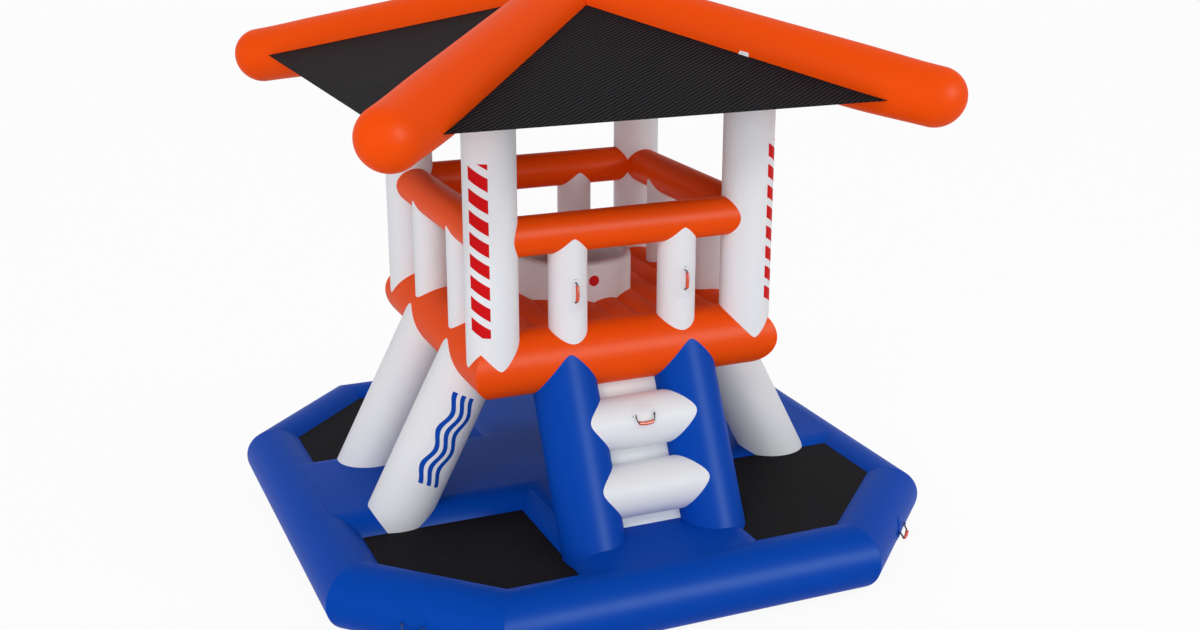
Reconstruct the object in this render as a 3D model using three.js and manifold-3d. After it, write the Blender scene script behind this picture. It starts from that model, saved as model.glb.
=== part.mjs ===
import * as THREE from 'three';
import { mergeVertices, toCreasedNormals } from 'three/addons/utils/BufferGeometryUtils.js';
import Module from 'manifold-3d';

// Inflatable lifeguard tower for open water, in millimetres.
// +Z is up, the ladder faces -Y, and the origin is on the floor under the middle.
const wasm = await Module();
wasm.setup();

// Facets
const tubeSides = 32;
const arcSteps = 8;
const patchSteps = 6;
const ribArcSteps = 3;
const domeSteps = 4;
const seatSides = 32;
const seatArcSteps = 2;
const smallSides = 10;
const holeSides = 12;
const valveSides = 20;
const quarterTurn = Math.PI / 2;
const creaseAngle = Math.PI / 5;

// Clearance between neighbouring pieces, and how far cutting shapes overrun
const gap = 0.3;
const overrun = 60;

// Base ring: an octagon of tubes lying on the water
const baseReach = 2250;
const baseCornerReach = 1400;
const baseRadius = 250;

// Platform: a cross of two arms with full-round edges, inside the ring
const armInset = 90;
const armHalf = 500;
const platformRadius = 250;

// Floor nets, stretched between the arms and the ring
const floorNetThickness = 6;
const frontLeftNetHeight = 365;
const frontRightNetHeight = 457;
const rearNetHeight = 430;

// Deck: a square ring of tubes round a ribbed floor
const deckReach = 1000;
const deckHeight = 1717;
const deckRadius = 250;
const ribCount = 8;
const ribRadius = 112;
const ribSpacing = 216;
const ribSink = 2;
const floorThickness = 235;

// Leaning tubes: the ladder's two stringers and the four legs
const leanRadius = 248;
const footReach = 1632;
const footSink = 245;

// Ladder board and its two bolster steps
const panelThickness = 60;
const panelSetBack = 22;
const stepRadius = 205;
const stepProud = 35;
const firstStepDown = 571;
const stepSpacing = 515;
const stepNames = ['upper', 'lower'];

// Corner posts, rails and the small pillars under the rails
const postReach = 1050;
const postRadius = 198;
const railHeight = 2704;
const railRadius = 150;
const pillarRadius = 148;
const pillarOffset = 450;

// Roof: four tubes from the top to the corners, with a net in each bay
const hipRadius = 235;
const hipEndRadius = 216;
const hipTopHeight = 4319;
const hipEndReach = 2052;
const hipEndHeight = 3687;
const hipShoulder = 300;
const hipTaper = 80;
const roofNetThickness = 6;
const roofNetRise = 26;
const roofNetDrop = 28;
const roofNetReach = 1975;

// Round seat wall on the deck
const seatRadius = 490;
const seatWall = 100;
const seatHeight = 300;
const seatSkirt = 85;
const seatEdge = 40;

// Grab handles: a stiff grip on a webbing loop that swings in two keepers
const gripLength = 120;
const gripRadius = 15;
const strapThickness = 5;
const strapWidth = 12;
const strapSplay = 12;
const strapShow = 2;
const barrelRadius = 6.7;
const barrelLift = 9;
const keeperLength = 18;
const keeperWidth = 26;
const keeperWall = 5;
const keeperClearance = 3;
const keeperPlay = 0.5;
const pillarHandleReach = 35;
const pillarHandleRise = 310;
const hangingReach = 60;
const hangingAngle = THREE.MathUtils.degToRad(60);
const stepHandleAngle = THREE.MathUtils.degToRad(31);
const baseHandleAngle = THREE.MathUtils.degToRad(2);

// Welded patches under the handles, in two layers
const patchLayer = 3;
const roundPatchRadius = 105;
const roundPatchInnerRadius = 75;
const longPatchHalfWidth = 84;
const longPatchHalfLength = 155;
const longPatchRim = 30;
const patchCornerShare = 0.4;

// Inflation valve on the rear tube
const valveAngle = THREE.MathUtils.degToRad(45);
const valvePatchRadius = 62;
const valveFlangeRadius = 42;
const valveFlange = 5;
const valveRadius = 30;
const valveDepth = 45;
const valvePocketDepth = 52;
const valveBore = 20;
const valveSeatBore = 13;
const valveSeatDepth = 18;
const valveSeatLength = 6;
const poppetRadius = 17;
const poppetThickness = 4;
const poppetStemRadius = 4;
const poppetStemDepth = 2;
const capRadius = 36;
const capThickness = 6;
const capPlugLength = 4;
const capPlugClearance = 1;
const capBarWidth = 8;
const capBarHeight = 8;

// Heights and lengths that follow from the sizes above
const armReach = baseReach - armInset;
const platformHeight = 2 * platformRadius;
const ribCrest = deckHeight + deckRadius - ribSink;
const pillarHandleHeight = deckHeight + deckRadius + pillarHandleRise;
const hipRun = Math.hypot(hipEndReach, hipEndReach);
const hipDrop = hipTopHeight - hipEndHeight;
const hipLength = Math.hypot(hipRun, hipDrop);
const leanTop = new THREE.Vector3(0, -deckReach, deckHeight);
const leanFoot = new THREE.Vector3(0, -footReach, platformHeight);
const leanDown = leanFoot.clone().sub(leanTop).normalize();
const leanOut = new THREE.Vector3(0, leanDown.z, -leanDown.y);
const boardFace = -panelSetBack;

// Colours of coated fabric, net, handles and valve
const orange = new THREE.MeshStandardMaterial({ color: '#dc4a12', roughness: 0.42, metalness: 0 });
const blue = new THREE.MeshStandardMaterial({ color: '#0a3da3', roughness: 0.42, metalness: 0 });
const white = new THREE.MeshStandardMaterial({ color: '#d8dade', roughness: 0.42, metalness: 0 });
const black = new THREE.MeshStandardMaterial({ color: '#1b1a1b', roughness: 0.8, metalness: 0 });
const red = new THREE.MeshStandardMaterial({ color: '#d8401c', roughness: 0.4, metalness: 0 });
const grey = new THREE.MeshStandardMaterial({ color: '#3a3d42', roughness: 0.5, metalness: 0 });

function toSolid(geometry) {
  const bare = geometry.clone();
  bare.deleteAttribute('normal');
  bare.deleteAttribute('uv');
  const merged = mergeVertices(bare);
  const vertProperties = new Float32Array(merged.attributes.position.array);
  const triVerts = new Uint32Array(merged.index.array);
  return new wasm.Manifold(new wasm.Mesh({ numProp: 3, vertProperties, triVerts }));
}

function toGeometry(solid) {
  const mesh = solid.getMesh();
  const geometry = new THREE.BufferGeometry();
  geometry.setAttribute('position', new THREE.BufferAttribute(mesh.vertProperties, 3));
  geometry.setIndex(new THREE.BufferAttribute(mesh.triVerts, 1));
  return toCreasedNormals(geometry, creaseAngle);
}

function cut(solid, cutters) {
  return cutters.reduce((rest, cutter) => rest.subtract(cutter), solid);
}

function join(solids) {
  return solids.reduce((whole, solid) => whole.add(solid));
}

function point(x, y, z) {
  return new THREE.Vector3(x, y, z);
}

// A round tube between two points, its ends slid along the tube onto cutting planes
function tube(from, to, radius, startCut = null, endCut = null) {
  const span = to.clone().sub(from);
  const length = span.length();
  const direction = span.normalize();
  const geometry = new THREE.CylinderGeometry(radius, radius, length, tubeSides);
  geometry.translate(0, length / 2, 0);
  const turn = new THREE.Quaternion().setFromUnitVectors(point(0, 1, 0), direction);
  geometry.applyQuaternion(turn);
  geometry.translate(from.x, from.y, from.z);
  const places = geometry.attributes.position;
  for (let i = 0; i < places.count; i += 1) {
    const corner = new THREE.Vector3().fromBufferAttribute(places, i);
    const along = corner.clone().sub(from).dot(direction);
    const plane = along < length / 2 ? startCut : endCut;
    if (plane) {
      const slide = -plane.distanceToPoint(corner) / plane.normal.dot(direction);
      corner.addScaledVector(direction, slide);
      places.setXYZ(i, corner.x, corner.y, corner.z);
    }
  }
  return geometry;
}

// Mitred tubes round a closed outline, with a clearance between neighbours
function ringTubes(corners, radius, clearance) {
  const count = corners.length;
  const heading = (i) => corners[(i + 1) % count].clone().sub(corners[i % count]).normalize();
  const mitre = (i, shift) => {
    const normal = heading((i + count - 1) % count).add(heading(i)).normalize();
    const through = corners[i % count].clone().addScaledVector(normal, shift);
    return new THREE.Plane().setFromNormalAndCoplanarPoint(normal, through);
  };
  return corners.map((corner, i) => {
    const next = corners[(i + 1) % count];
    return tube(corner, next, radius, mitre(i, clearance / 2), mitre(i + 1, -clearance / 2));
  });
}

const baseCorners = [
  point(-baseCornerReach, -baseReach, baseRadius),
  point(baseCornerReach, -baseReach, baseRadius),
  point(baseReach, -baseCornerReach, baseRadius),
  point(baseReach, baseCornerReach, baseRadius),
  point(baseCornerReach, baseReach, baseRadius),
  point(-baseCornerReach, baseReach, baseRadius),
  point(-baseReach, baseCornerReach, baseRadius),
  point(-baseReach, -baseCornerReach, baseRadius),
];

const deckCorners = [
  point(-deckReach, -deckReach, deckHeight),
  point(deckReach, -deckReach, deckHeight),
  point(deckReach, deckReach, deckHeight),
  point(-deckReach, deckReach, deckHeight),
];

const railCorners = [
  point(-postReach, -postReach, railHeight),
  point(postReach, -postReach, railHeight),
  point(postReach, postReach, railHeight),
  point(-postReach, postReach, railHeight),
];

// A cross of two arms, grown by a clearance when it cuts its neighbours
function platformShape(grow) {
  const profile = new THREE.Shape();
  profile.absarc(armHalf, platformRadius, platformRadius + grow, -quarterTurn, quarterTurn);
  profile.absarc(-armHalf, platformRadius, platformRadius + grow, quarterTurn, 3 * quarterTurn);
  const length = 2 * (armReach + grow);
  const arm = new THREE.ExtrudeGeometry(profile, {
    depth: length, curveSegments: arcSteps, bevelEnabled: false,
  });
  arm.translate(0, 0, -length / 2);
  arm.rotateX(quarterTurn);
  return toSolid(arm).add(toSolid(arm.clone().rotateZ(quarterTurn)));
}

// A leaning tube of the front side, its top end in the deck tube and its foot in the platform
function leanTube(across, quarter, grow = 0) {
  const top = leanTop.clone().setX(across);
  const foot = leanFoot.clone().setX(across);
  const bottom = new THREE.Plane(point(0, 0, 1), -(platformHeight - footSink));
  return toSolid(tube(top, foot, leanRadius + grow, null, bottom).rotateZ(quarter * quarterTurn));
}

// The deck floor: a slab with a row of round ribs, both grown when they cut
function floorShape(grow) {
  const centre = ribCrest - ribRadius;
  const radius = ribRadius + grow;
  const halfAngle = Math.asin(ribSpacing / 2 / radius);
  const edge = (ribCount * ribSpacing) / 2 + grow;
  const profile = new THREE.Shape();
  profile.moveTo(-edge, ribCrest - floorThickness - grow);
  profile.lineTo(-edge, centre + radius * Math.cos(halfAngle));
  for (let i = 0; i < ribCount; i += 1) {
    const across = (i - (ribCount - 1) / 2) * ribSpacing;
    profile.absarc(across, centre, radius, quarterTurn + halfAngle, quarterTurn - halfAngle, true);
  }
  profile.lineTo(edge, centre + radius * Math.cos(halfAngle));
  profile.lineTo(edge, ribCrest - floorThickness - grow);
  const slab = new THREE.ExtrudeGeometry(profile, {
    depth: 2 * deckReach, curveSegments: ribArcSteps, bevelEnabled: false,
  });
  slab.translate(0, 0, -deckReach);
  slab.rotateX(quarterTurn);
  return toSolid(slab);
}

function hipAxisHeight(reach) {
  return hipTopHeight - (hipDrop * reach) / hipEndReach;
}

// One roof tube from the top towards +X +Y, with a dome at its lower end
function hipGeometry(grow) {
  const outer = hipRadius + grow;
  const end = hipEndRadius + grow;
  const outline = [
    new THREE.Vector2(0, -outer),
    new THREE.Vector2(outer, -outer),
    new THREE.Vector2(outer, hipLength - hipShoulder),
    new THREE.Vector2(end, hipLength - hipShoulder + hipTaper),
  ];
  for (let i = 0; i <= domeSteps; i += 1) {
    const angle = (i / domeSteps) * quarterTurn;
    outline.push(new THREE.Vector2(end * Math.cos(angle), hipLength + end * Math.sin(angle)));
  }
  outline[outline.length - 1].x = 0;
  const geometry = new THREE.LatheGeometry(outline, tubeSides);
  const direction = point(hipEndReach, hipEndReach, -hipDrop).normalize();
  geometry.rotateY(Math.PI / 4);
  geometry.applyQuaternion(new THREE.Quaternion().setFromUnitVectors(point(0, 1, 0), direction));
  return geometry.translate(0, 0, hipTopHeight);
}

// Fixed shapes that trim several pieces
const baseRing = join(ringTubes(baseCorners, baseRadius + gap, 0).map(toSolid));
const deckRing = join(ringTubes(deckCorners, deckRadius + gap, 0).map(toSolid));
const fatPlatform = platformShape(gap);
const fatLeans = [0, 1, 3].flatMap((quarter) => [
  leanTube(-armHalf, quarter, gap),
  leanTube(armHalf, quarter, gap),
]);
const fatHips = [0, 1, 2, 3].map((quarter) => toSolid(hipGeometry(gap).rotateZ(quarter * quarterTurn)));

// A frame whose x runs along a tube and whose z points out of it, from a point on its axis
function tubeFrame(origin, along, outward) {
  const side = outward.clone().cross(along);
  return new THREE.Matrix4().makeBasis(along, side, outward).setPosition(origin);
}

function longOutline(halfLength, halfWidth) {
  const corner = halfWidth * patchCornerShare;
  return new THREE.Shape([
    new THREE.Vector2(-halfLength, -halfWidth + corner),
    new THREE.Vector2(-halfLength + corner, -halfWidth),
    new THREE.Vector2(halfLength - corner, -halfWidth),
    new THREE.Vector2(halfLength, -halfWidth + corner),
    new THREE.Vector2(halfLength, halfWidth - corner),
    new THREE.Vector2(halfLength - corner, halfWidth),
    new THREE.Vector2(-halfLength + corner, halfWidth),
    new THREE.Vector2(-halfLength, halfWidth - corner),
  ]);
}

function roundOutline(radius) {
  const outline = new THREE.Shape();
  outline.absarc(0, 0, radius, 0, 4 * quarterTurn);
  return outline;
}

// A layer welded to a tube: the tube's own roundness, raised, inside an outline
function patchOn(radius, raise, outline, reach) {
  const skin = tube(point(-reach, 0, 0), point(reach, 0, 0), radius + raise);
  const stamp = new THREE.ExtrudeGeometry(outline, {
    depth: radius + raise, curveSegments: patchSteps, bevelEnabled: false,
  });
  return toSolid(skin).intersect(toSolid(stamp));
}

// Half the webbing loop's opening at its foot, and where the two keepers stand
const strapFoot = gripLength / 2 + strapShow + strapSplay;
const keeperMiddle = strapFoot + strapThickness + keeperClearance + keeperLength / 2;
const patchHeight = 2 * patchLayer;

function keeper(radius, side) {
  const seat = radius + patchHeight + barrelLift;
  const holeRadius = barrelRadius + keeperPlay;
  const top = seat + holeRadius + keeperWall;
  const block = new THREE.BoxGeometry(keeperLength, keeperWidth, top - radius / 2);
  block.translate(side * keeperMiddle, 0, (top + radius / 2) / 2);
  const hole = new THREE.CylinderGeometry(holeRadius, holeRadius, keeperLength + overrun, holeSides);
  hole.rotateZ(quarterTurn);
  hole.translate(side * keeperMiddle, 0, seat);
  return toSolid(block).subtract(toSolid(hole));
}

// Two patch layers and two keepers welded to a tube where a handle hangs
function handleSeat(frame, radius, outer, inner) {
  const solids = [
    patchOn(radius, patchLayer, outer, longPatchHalfLength + overrun),
    patchOn(radius, patchHeight, inner, longPatchHalfLength + overrun),
    keeper(radius, -1),
    keeper(radius, 1),
  ];
  return join(solids.map((solid) => toSolid(toGeometry(solid).applyMatrix4(frame))));
}

const longSeat = [
  longOutline(longPatchHalfLength, longPatchHalfWidth),
  longOutline(longPatchHalfLength - longPatchRim, longPatchHalfWidth - longPatchRim),
];
const roundSeat = [roundOutline(roundPatchRadius), roundOutline(roundPatchInnerRadius)];

// A grip on its webbing loop, hinged about the x axis, standing out along z
function handleGeometry(reach) {
  const head = gripLength / 2 + strapShow;
  const rise = strapThickness / 2;
  const loop = new THREE.Shape([
    new THREE.Vector2(-strapFoot - strapThickness, 0),
    new THREE.Vector2(-strapFoot, 0),
    new THREE.Vector2(-head, reach - rise),
    new THREE.Vector2(head, reach - rise),
    new THREE.Vector2(strapFoot, 0),
    new THREE.Vector2(strapFoot + strapThickness, 0),
    new THREE.Vector2(head + strapThickness, reach + rise),
    new THREE.Vector2(-head - strapThickness, reach + rise),
  ]);
  const webbing = new THREE.ExtrudeGeometry(loop, { depth: strapWidth, bevelEnabled: false });
  webbing.translate(0, 0, -strapWidth / 2);
  webbing.rotateX(quarterTurn);
  const grip = new THREE.CylinderGeometry(gripRadius, gripRadius, gripLength, smallSides);
  grip.rotateZ(quarterTurn);
  grip.translate(0, 0, reach);
  const barrelEnd = keeperMiddle + keeperLength / 2;
  const barrels = [-1, 1].map((side) => {
    const barrel = new THREE.CylinderGeometry(
      barrelRadius, barrelRadius, barrelEnd - strapFoot, smallSides,
    );
    barrel.rotateZ(quarterTurn);
    return barrel.translate((side * (barrelEnd + strapFoot)) / 2, 0, 0);
  });
  return toGeometry(join([webbing, grip, ...barrels].map(toSolid)));
}

const tower = new THREE.Group();

function addPiece(name, geometry, material, parent = tower) {
  const mesh = new THREE.Mesh(geometry, material);
  mesh.name = name;
  parent.add(mesh);
  return mesh;
}

// The handle stands in its tube's frame, turned down from the tube's outward direction
function addHandle(name, frame, radius, reach, tilt) {
  const seat = new THREE.Group();
  seat.applyMatrix4(frame);
  tower.add(seat);
  const handle = addPiece(name, handleGeometry(reach), red, seat);
  handle.position.z = radius + patchHeight + barrelLift;
  handle.rotation.x = tilt;
}

// Frames of the five handles and the valve
const diagonalMiddle = (baseReach + baseCornerReach) / 2;

function baseHandleFrame(side) {
  const flat = point(side, -1, 0).normalize();
  const along = point(1, side, 0).normalize();
  const outward = flat.clone().multiplyScalar(Math.cos(baseHandleAngle));
  outward.z = Math.sin(baseHandleAngle);
  return tubeFrame(point(side * diagonalMiddle, -diagonalMiddle, baseRadius), along, outward);
}

function stepCentre(index) {
  const down = firstStepDown + index * stepSpacing;
  return leanTop.clone().addScaledVector(leanDown, down).addScaledVector(leanOut, stepProud);
}

const stepOutward = point(0, -Math.cos(stepHandleAngle), Math.sin(stepHandleAngle));
const stepFrame = tubeFrame(stepCentre(0), point(1, 0, 0), stepOutward);

function pillarFrame(side) {
  const origin = point(side * pillarOffset, -postReach, pillarHandleHeight);
  return tubeFrame(origin, point(0, 0, 1), point(0, -1, 0));
}

const valveOutward = point(0, Math.cos(valveAngle), Math.sin(valveAngle));
const valveFrame = tubeFrame(point(0, baseReach, baseRadius), point(-1, 0, 0), valveOutward);

// A body of revolution about the z axis from an outline of radius and height pairs
function turned(pairs, sides) {
  const outline = pairs.map(([radius, height]) => new THREE.Vector2(radius, height));
  return new THREE.LatheGeometry(outline, sides).rotateX(quarterTurn);
}

const valveSill = baseRadius + patchLayer;

function valveSeat(rearTube) {
  const patch = patchOn(baseRadius, patchLayer, roundOutline(valvePatchRadius), longPatchHalfLength);
  const pocket = new THREE.CylinderGeometry(
    valveRadius + gap, valveRadius + gap, valvePocketDepth + overrun, valveSides,
  );
  pocket.rotateX(quarterTurn);
  pocket.translate(0, 0, valveSill - valvePocketDepth + (valvePocketDepth + overrun) / 2);
  const raised = toSolid(toGeometry(patch).applyMatrix4(valveFrame));
  return rearTube.add(raised).subtract(toSolid(pocket.applyMatrix4(valveFrame)));
}

function addBase() {
  const names = [
    'front', 'front_right', 'right', 'rear_right', 'rear', 'rear_left', 'left', 'front_left',
  ];
  ringTubes(baseCorners, baseRadius, gap).forEach((geometry, i) => {
    let solid = toSolid(geometry);
    if (names[i] === 'front_right') {
      solid = solid.add(handleSeat(baseHandleFrame(1), baseRadius, ...roundSeat));
    }
    if (names[i] === 'front_left') {
      solid = solid.add(handleSeat(baseHandleFrame(-1), baseRadius, ...roundSeat));
    }
    if (names[i] === 'rear') {
      solid = valveSeat(solid);
    }
    addPiece(`base_tube_${names[i]}`, toGeometry(solid), blue);
  });
  addPiece('platform_cross', toGeometry(platformShape(0).subtract(baseRing)), blue);
}

// A net fills the corner between two arms and the ring, and is cut round the leaning tubes
function addFloorNet(name, sideX, sideY, height) {
  const outline = new THREE.Shape([
    new THREE.Vector2(0, 0),
    new THREE.Vector2(sideX * baseReach, 0),
    new THREE.Vector2(sideX * baseReach, sideY * baseCornerReach),
    new THREE.Vector2(sideX * baseCornerReach, sideY * baseReach),
    new THREE.Vector2(0, sideY * baseReach),
  ]);
  const sheet = new THREE.ExtrudeGeometry(outline, { depth: floorNetThickness, bevelEnabled: false });
  sheet.translate(0, 0, height - floorNetThickness);
  const net = cut(toSolid(sheet), [fatPlatform, baseRing, ...fatLeans]);
  addPiece(name, toGeometry(net), black);
}

function addLeanTubes() {
  const sides = [
    { quarter: 0, names: ['ladder_stringer_left', 'ladder_stringer_right'], material: blue },
    { quarter: 1, names: ['leg_right_front', 'leg_right_rear'], material: white },
    { quarter: 3, names: ['leg_left_rear', 'leg_left_front'], material: white },
  ];
  for (const { quarter, names, material } of sides) {
    [-armHalf, armHalf].forEach((across, i) => {
      const trimmed = cut(leanTube(across, 0), [deckRing, fatPlatform]);
      addPiece(names[i], toGeometry(trimmed), material).rotation.z = quarter * quarterTurn;
    });
  }
}

// Board and steps lie between the stringers, along the stringers' own slope
function addLadder() {
  const slope = leanTop.distanceTo(leanFoot) + overrun;
  const board = new THREE.BoxGeometry(2 * armHalf, panelThickness, slope);
  board.translate(0, -boardFace + panelThickness / 2, -slope / 2);
  const lean = new THREE.Matrix4().makeBasis(
    point(1, 0, 0), leanOut.clone().negate(), leanDown.clone().negate(),
  );
  board.applyMatrix4(lean.setPosition(leanTop));
  const stringers = fatLeans.slice(0, 2);
  const trimmed = cut(toSolid(board), [...stringers, deckRing, fatPlatform]);
  addPiece('ladder_panel', toGeometry(trimmed), white);

  const chord = Math.acos((boardFace + gap - stepProud) / stepRadius);
  stepNames.forEach((name, i) => {
    const profile = new THREE.Shape();
    profile.absarc(0, 0, stepRadius, -chord, chord);
    const bolster = new THREE.ExtrudeGeometry(profile, {
      depth: 2 * armHalf, curveSegments: arcSteps * 2, bevelEnabled: false,
    });
    bolster.translate(0, 0, -armHalf);
    const frame = new THREE.Matrix4().makeBasis(leanOut, leanDown, point(1, 0, 0));
    bolster.applyMatrix4(frame.setPosition(stepCentre(i)));
    let step = cut(toSolid(bolster), stringers);
    if (i === 0) {
      step = step.add(handleSeat(stepFrame, stepRadius, ...roundSeat));
    }
    addPiece(`ladder_step_${name}`, toGeometry(step), white);
  });
}

function pillarTube(offset, grow) {
  return toSolid(tube(
    point(offset, -postReach, deckHeight), point(offset, -postReach, railHeight),
    pillarRadius + grow,
  ));
}

function addDeck() {
  const sides = ['front', 'right', 'rear', 'left'];
  ringTubes(deckCorners, deckRadius, gap).forEach((geometry, i) => {
    addPiece(`deck_tube_${sides[i]}`, geometry, orange);
  });
  const pillars = [0, 1, 2, 3].flatMap((quarter) => [-pillarOffset, pillarOffset].map((offset) => {
    const fat = toGeometry(pillarTube(offset, gap)).rotateZ(quarter * quarterTurn);
    return toSolid(fat);
  }));
  addPiece('deck_floor', toGeometry(cut(floorShape(0), [deckRing, ...pillars])), orange);
}

function addSeat() {
  const top = ribCrest + seatHeight;
  const inner = seatRadius - seatWall;
  const outline = [[inner, ribCrest - seatSkirt], [seatRadius, ribCrest - seatSkirt]];
  for (let i = 0; i <= seatArcSteps; i += 1) {
    const angle = (i / seatArcSteps) * quarterTurn;
    const across = seatRadius - seatEdge + seatEdge * Math.cos(angle);
    outline.push([across, top - seatEdge + seatEdge * Math.sin(angle)]);
  }
  for (let i = 0; i <= seatArcSteps; i += 1) {
    const angle = (1 + i / seatArcSteps) * quarterTurn;
    const across = inner + seatEdge + seatEdge * Math.cos(angle);
    outline.push([across, top - seatEdge + seatEdge * Math.sin(angle)]);
  }
  outline.push(outline[0]);
  const ring = toSolid(turned(outline, seatSides)).subtract(floorShape(gap));
  addPiece('seat_ring', toGeometry(ring), white);
}

// Posts, rails and pillars repeat on the four sides
function addUprights() {
  const sides = ['front', 'right', 'rear', 'left'];
  const corners = ['front_right', 'rear_right', 'rear_left', 'front_left'];
  const postTop = point(postReach, -postReach, hipAxisHeight(postReach));
  const postFoot = point(postReach, -postReach, deckHeight);
  const post = toGeometry(cut(toSolid(tube(postFoot, postTop, postRadius)), [deckRing, ...fatHips]));

  const fatPosts = [-postReach, postReach].map((across) => toSolid(tube(
    point(across, -postReach, deckHeight), point(across, -postReach, hipTopHeight),
    postRadius + gap,
  )));
  const straightRail = toSolid(tube(railCorners[0], railCorners[1], railRadius));
  const [mitredRail] = ringTubes(railCorners, railRadius, gap);
  const rail = toGeometry(cut(straightRail.intersect(toSolid(mitredRail)), fatPosts));

  const fatRail = toSolid(tube(railCorners[0], railCorners[1], railRadius + gap));
  const pillars = [-1, 1].map((side) => {
    const plain = cut(pillarTube(side * pillarOffset, 0), [deckRing, fatRail]);
    const patched = plain.add(handleSeat(pillarFrame(side), pillarRadius, ...longSeat));
    return { plain: toGeometry(plain), patched: toGeometry(patched) };
  });
  const pillarNames = [
    ['front_left', 'front_right'],
    ['right_front', 'right_rear'],
    ['rear_right', 'rear_left'],
    ['left_rear', 'left_front'],
  ];

  for (let quarter = 0; quarter < sides.length; quarter += 1) {
    const side = new THREE.Group();
    side.rotation.z = quarter * quarterTurn;
    tower.add(side);
    addPiece(`corner_post_${corners[quarter]}`, post, white, side);
    addPiece(`rail_${sides[quarter]}`, rail, orange, side);
    pillars.forEach(({ plain, patched }, i) => {
      const shape = quarter === 0 ? patched : plain;
      addPiece(`rail_pillar_${pillarNames[quarter][i]}`, shape, white, side);
    });
  }
}

function addRoof() {
  const trimSpan = 2 * hipEndReach;
  const quadrant = new THREE.BoxGeometry(trimSpan, trimSpan, trimSpan);
  quadrant.translate(trimSpan / 2 + gap / 2, trimSpan / 2 + gap / 2, hipTopHeight);
  const hip = toGeometry(toSolid(hipGeometry(0)).intersect(toSolid(quadrant)));

  const middle = hipTopHeight + roofNetRise;
  const eave = hipAxisHeight(roofNetReach) - roofNetDrop;
  const slope = Math.atan2(middle - eave, roofNetReach);
  const run = Math.hypot(middle - eave, roofNetReach);
  const bay = new THREE.Shape([
    new THREE.Vector2(0, 0),
    new THREE.Vector2(-roofNetReach, -run),
    new THREE.Vector2(roofNetReach, -run),
  ]);
  const sheet = new THREE.ExtrudeGeometry(bay, { depth: roofNetThickness, bevelEnabled: false });
  sheet.translate(0, 0, -roofNetThickness / 2);
  sheet.rotateX(slope);
  sheet.translate(0, 0, middle);
  const net = toGeometry(cut(toSolid(sheet), fatHips));

  const corners = ['rear_right', 'rear_left', 'front_left', 'front_right'];
  const bays = ['front', 'right', 'rear', 'left'];
  for (let quarter = 0; quarter < corners.length; quarter += 1) {
    addPiece(`roof_tube_${corners[quarter]}`, hip, orange).rotation.z = quarter * quarterTurn;
    addPiece(`roof_net_${bays[quarter]}`, net, black).rotation.z = quarter * quarterTurn;
  }
}

function addValve() {
  const seat = new THREE.Group();
  seat.applyMatrix4(valveFrame);
  tower.add(seat);
  const body = turned([
    [valveBore, valveFlange],
    [valveBore, -valveSeatDepth],
    [valveSeatBore, -valveSeatDepth],
    [valveSeatBore, -valveSeatDepth - valveSeatLength],
    [valveBore, -valveSeatDepth - valveSeatLength],
    [valveBore, -valveDepth],
    [valveRadius, -valveDepth],
    [valveRadius, 0],
    [valveFlangeRadius, 0],
    [valveFlangeRadius, valveFlange],
    [valveBore, valveFlange],
  ], valveSides);
  addPiece('valve_body', body, grey, seat).position.z = valveSill + gap;

  const disc = -valveSeatDepth - valveSeatLength - gap;
  const poppet = turned([
    [0, disc - poppetThickness],
    [poppetRadius, disc - poppetThickness],
    [poppetRadius, disc],
    [poppetStemRadius, disc],
    [poppetStemRadius, -poppetStemDepth],
    [0, -poppetStemDepth],
  ], valveSides);
  addPiece('valve_poppet', poppet, white, seat).position.z = valveSill + gap;

  const plug = turned([
    [0, -capPlugLength],
    [valveBore - capPlugClearance, -capPlugLength],
    [valveBore - capPlugClearance, 0],
    [capRadius, 0],
    [capRadius, capThickness],
    [0, capThickness],
  ], valveSides);
  const bar = new THREE.BoxGeometry(2 * valveRadius, capBarWidth, capBarHeight + capThickness);
  bar.translate(0, 0, (capBarHeight + capThickness) / 2);
  const cap = toGeometry(toSolid(plug).add(toSolid(bar)));
  addPiece('valve_cap', cap, grey, seat).position.z = valveSill + valveFlange + 2 * gap;
}

addBase();
addFloorNet('floor_net_front_left', -1, -1, frontLeftNetHeight);
addFloorNet('floor_net_front_right', 1, -1, frontRightNetHeight);
addFloorNet('floor_net_rear_left', -1, 1, rearNetHeight);
addFloorNet('floor_net_rear_right', 1, 1, rearNetHeight);
addLeanTubes();
addLadder();
addDeck();
addSeat();
addUprights();
addRoof();
addHandle('handle_pillar_left', pillarFrame(-1), pillarRadius, pillarHandleReach, 0);
addHandle('handle_pillar_right', pillarFrame(1), pillarRadius, pillarHandleReach, 0);
addHandle('handle_step', stepFrame, stepRadius, hangingReach, hangingAngle + stepHandleAngle);
addHandle('handle_base_left', baseHandleFrame(-1), baseRadius, hangingReach,
  hangingAngle + baseHandleAngle);
addHandle('handle_base_right', baseHandleFrame(1), baseRadius, hangingReach,
  hangingAngle + baseHandleAngle);
addValve();

export default tower;
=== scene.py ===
import math

import bpy
from mathutils import Matrix, Vector


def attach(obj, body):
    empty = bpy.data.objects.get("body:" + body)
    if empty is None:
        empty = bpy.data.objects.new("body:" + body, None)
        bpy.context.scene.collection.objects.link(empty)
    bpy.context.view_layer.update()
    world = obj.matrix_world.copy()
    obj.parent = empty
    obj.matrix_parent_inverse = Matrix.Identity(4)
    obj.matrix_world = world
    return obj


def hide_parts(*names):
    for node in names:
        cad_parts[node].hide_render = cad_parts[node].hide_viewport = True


bl_info = {
    "name": "Inflatable lifeguard tower",
    "version": (1, 0, 0),
    "blender": (4, 5, 0),
    "location": "3D View > Sidebar > Tower",
    "description": "Builds the tubes, nets, handles and valve of an inflatable lifeguard tower",
    "category": "Add Mesh",
}

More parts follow.
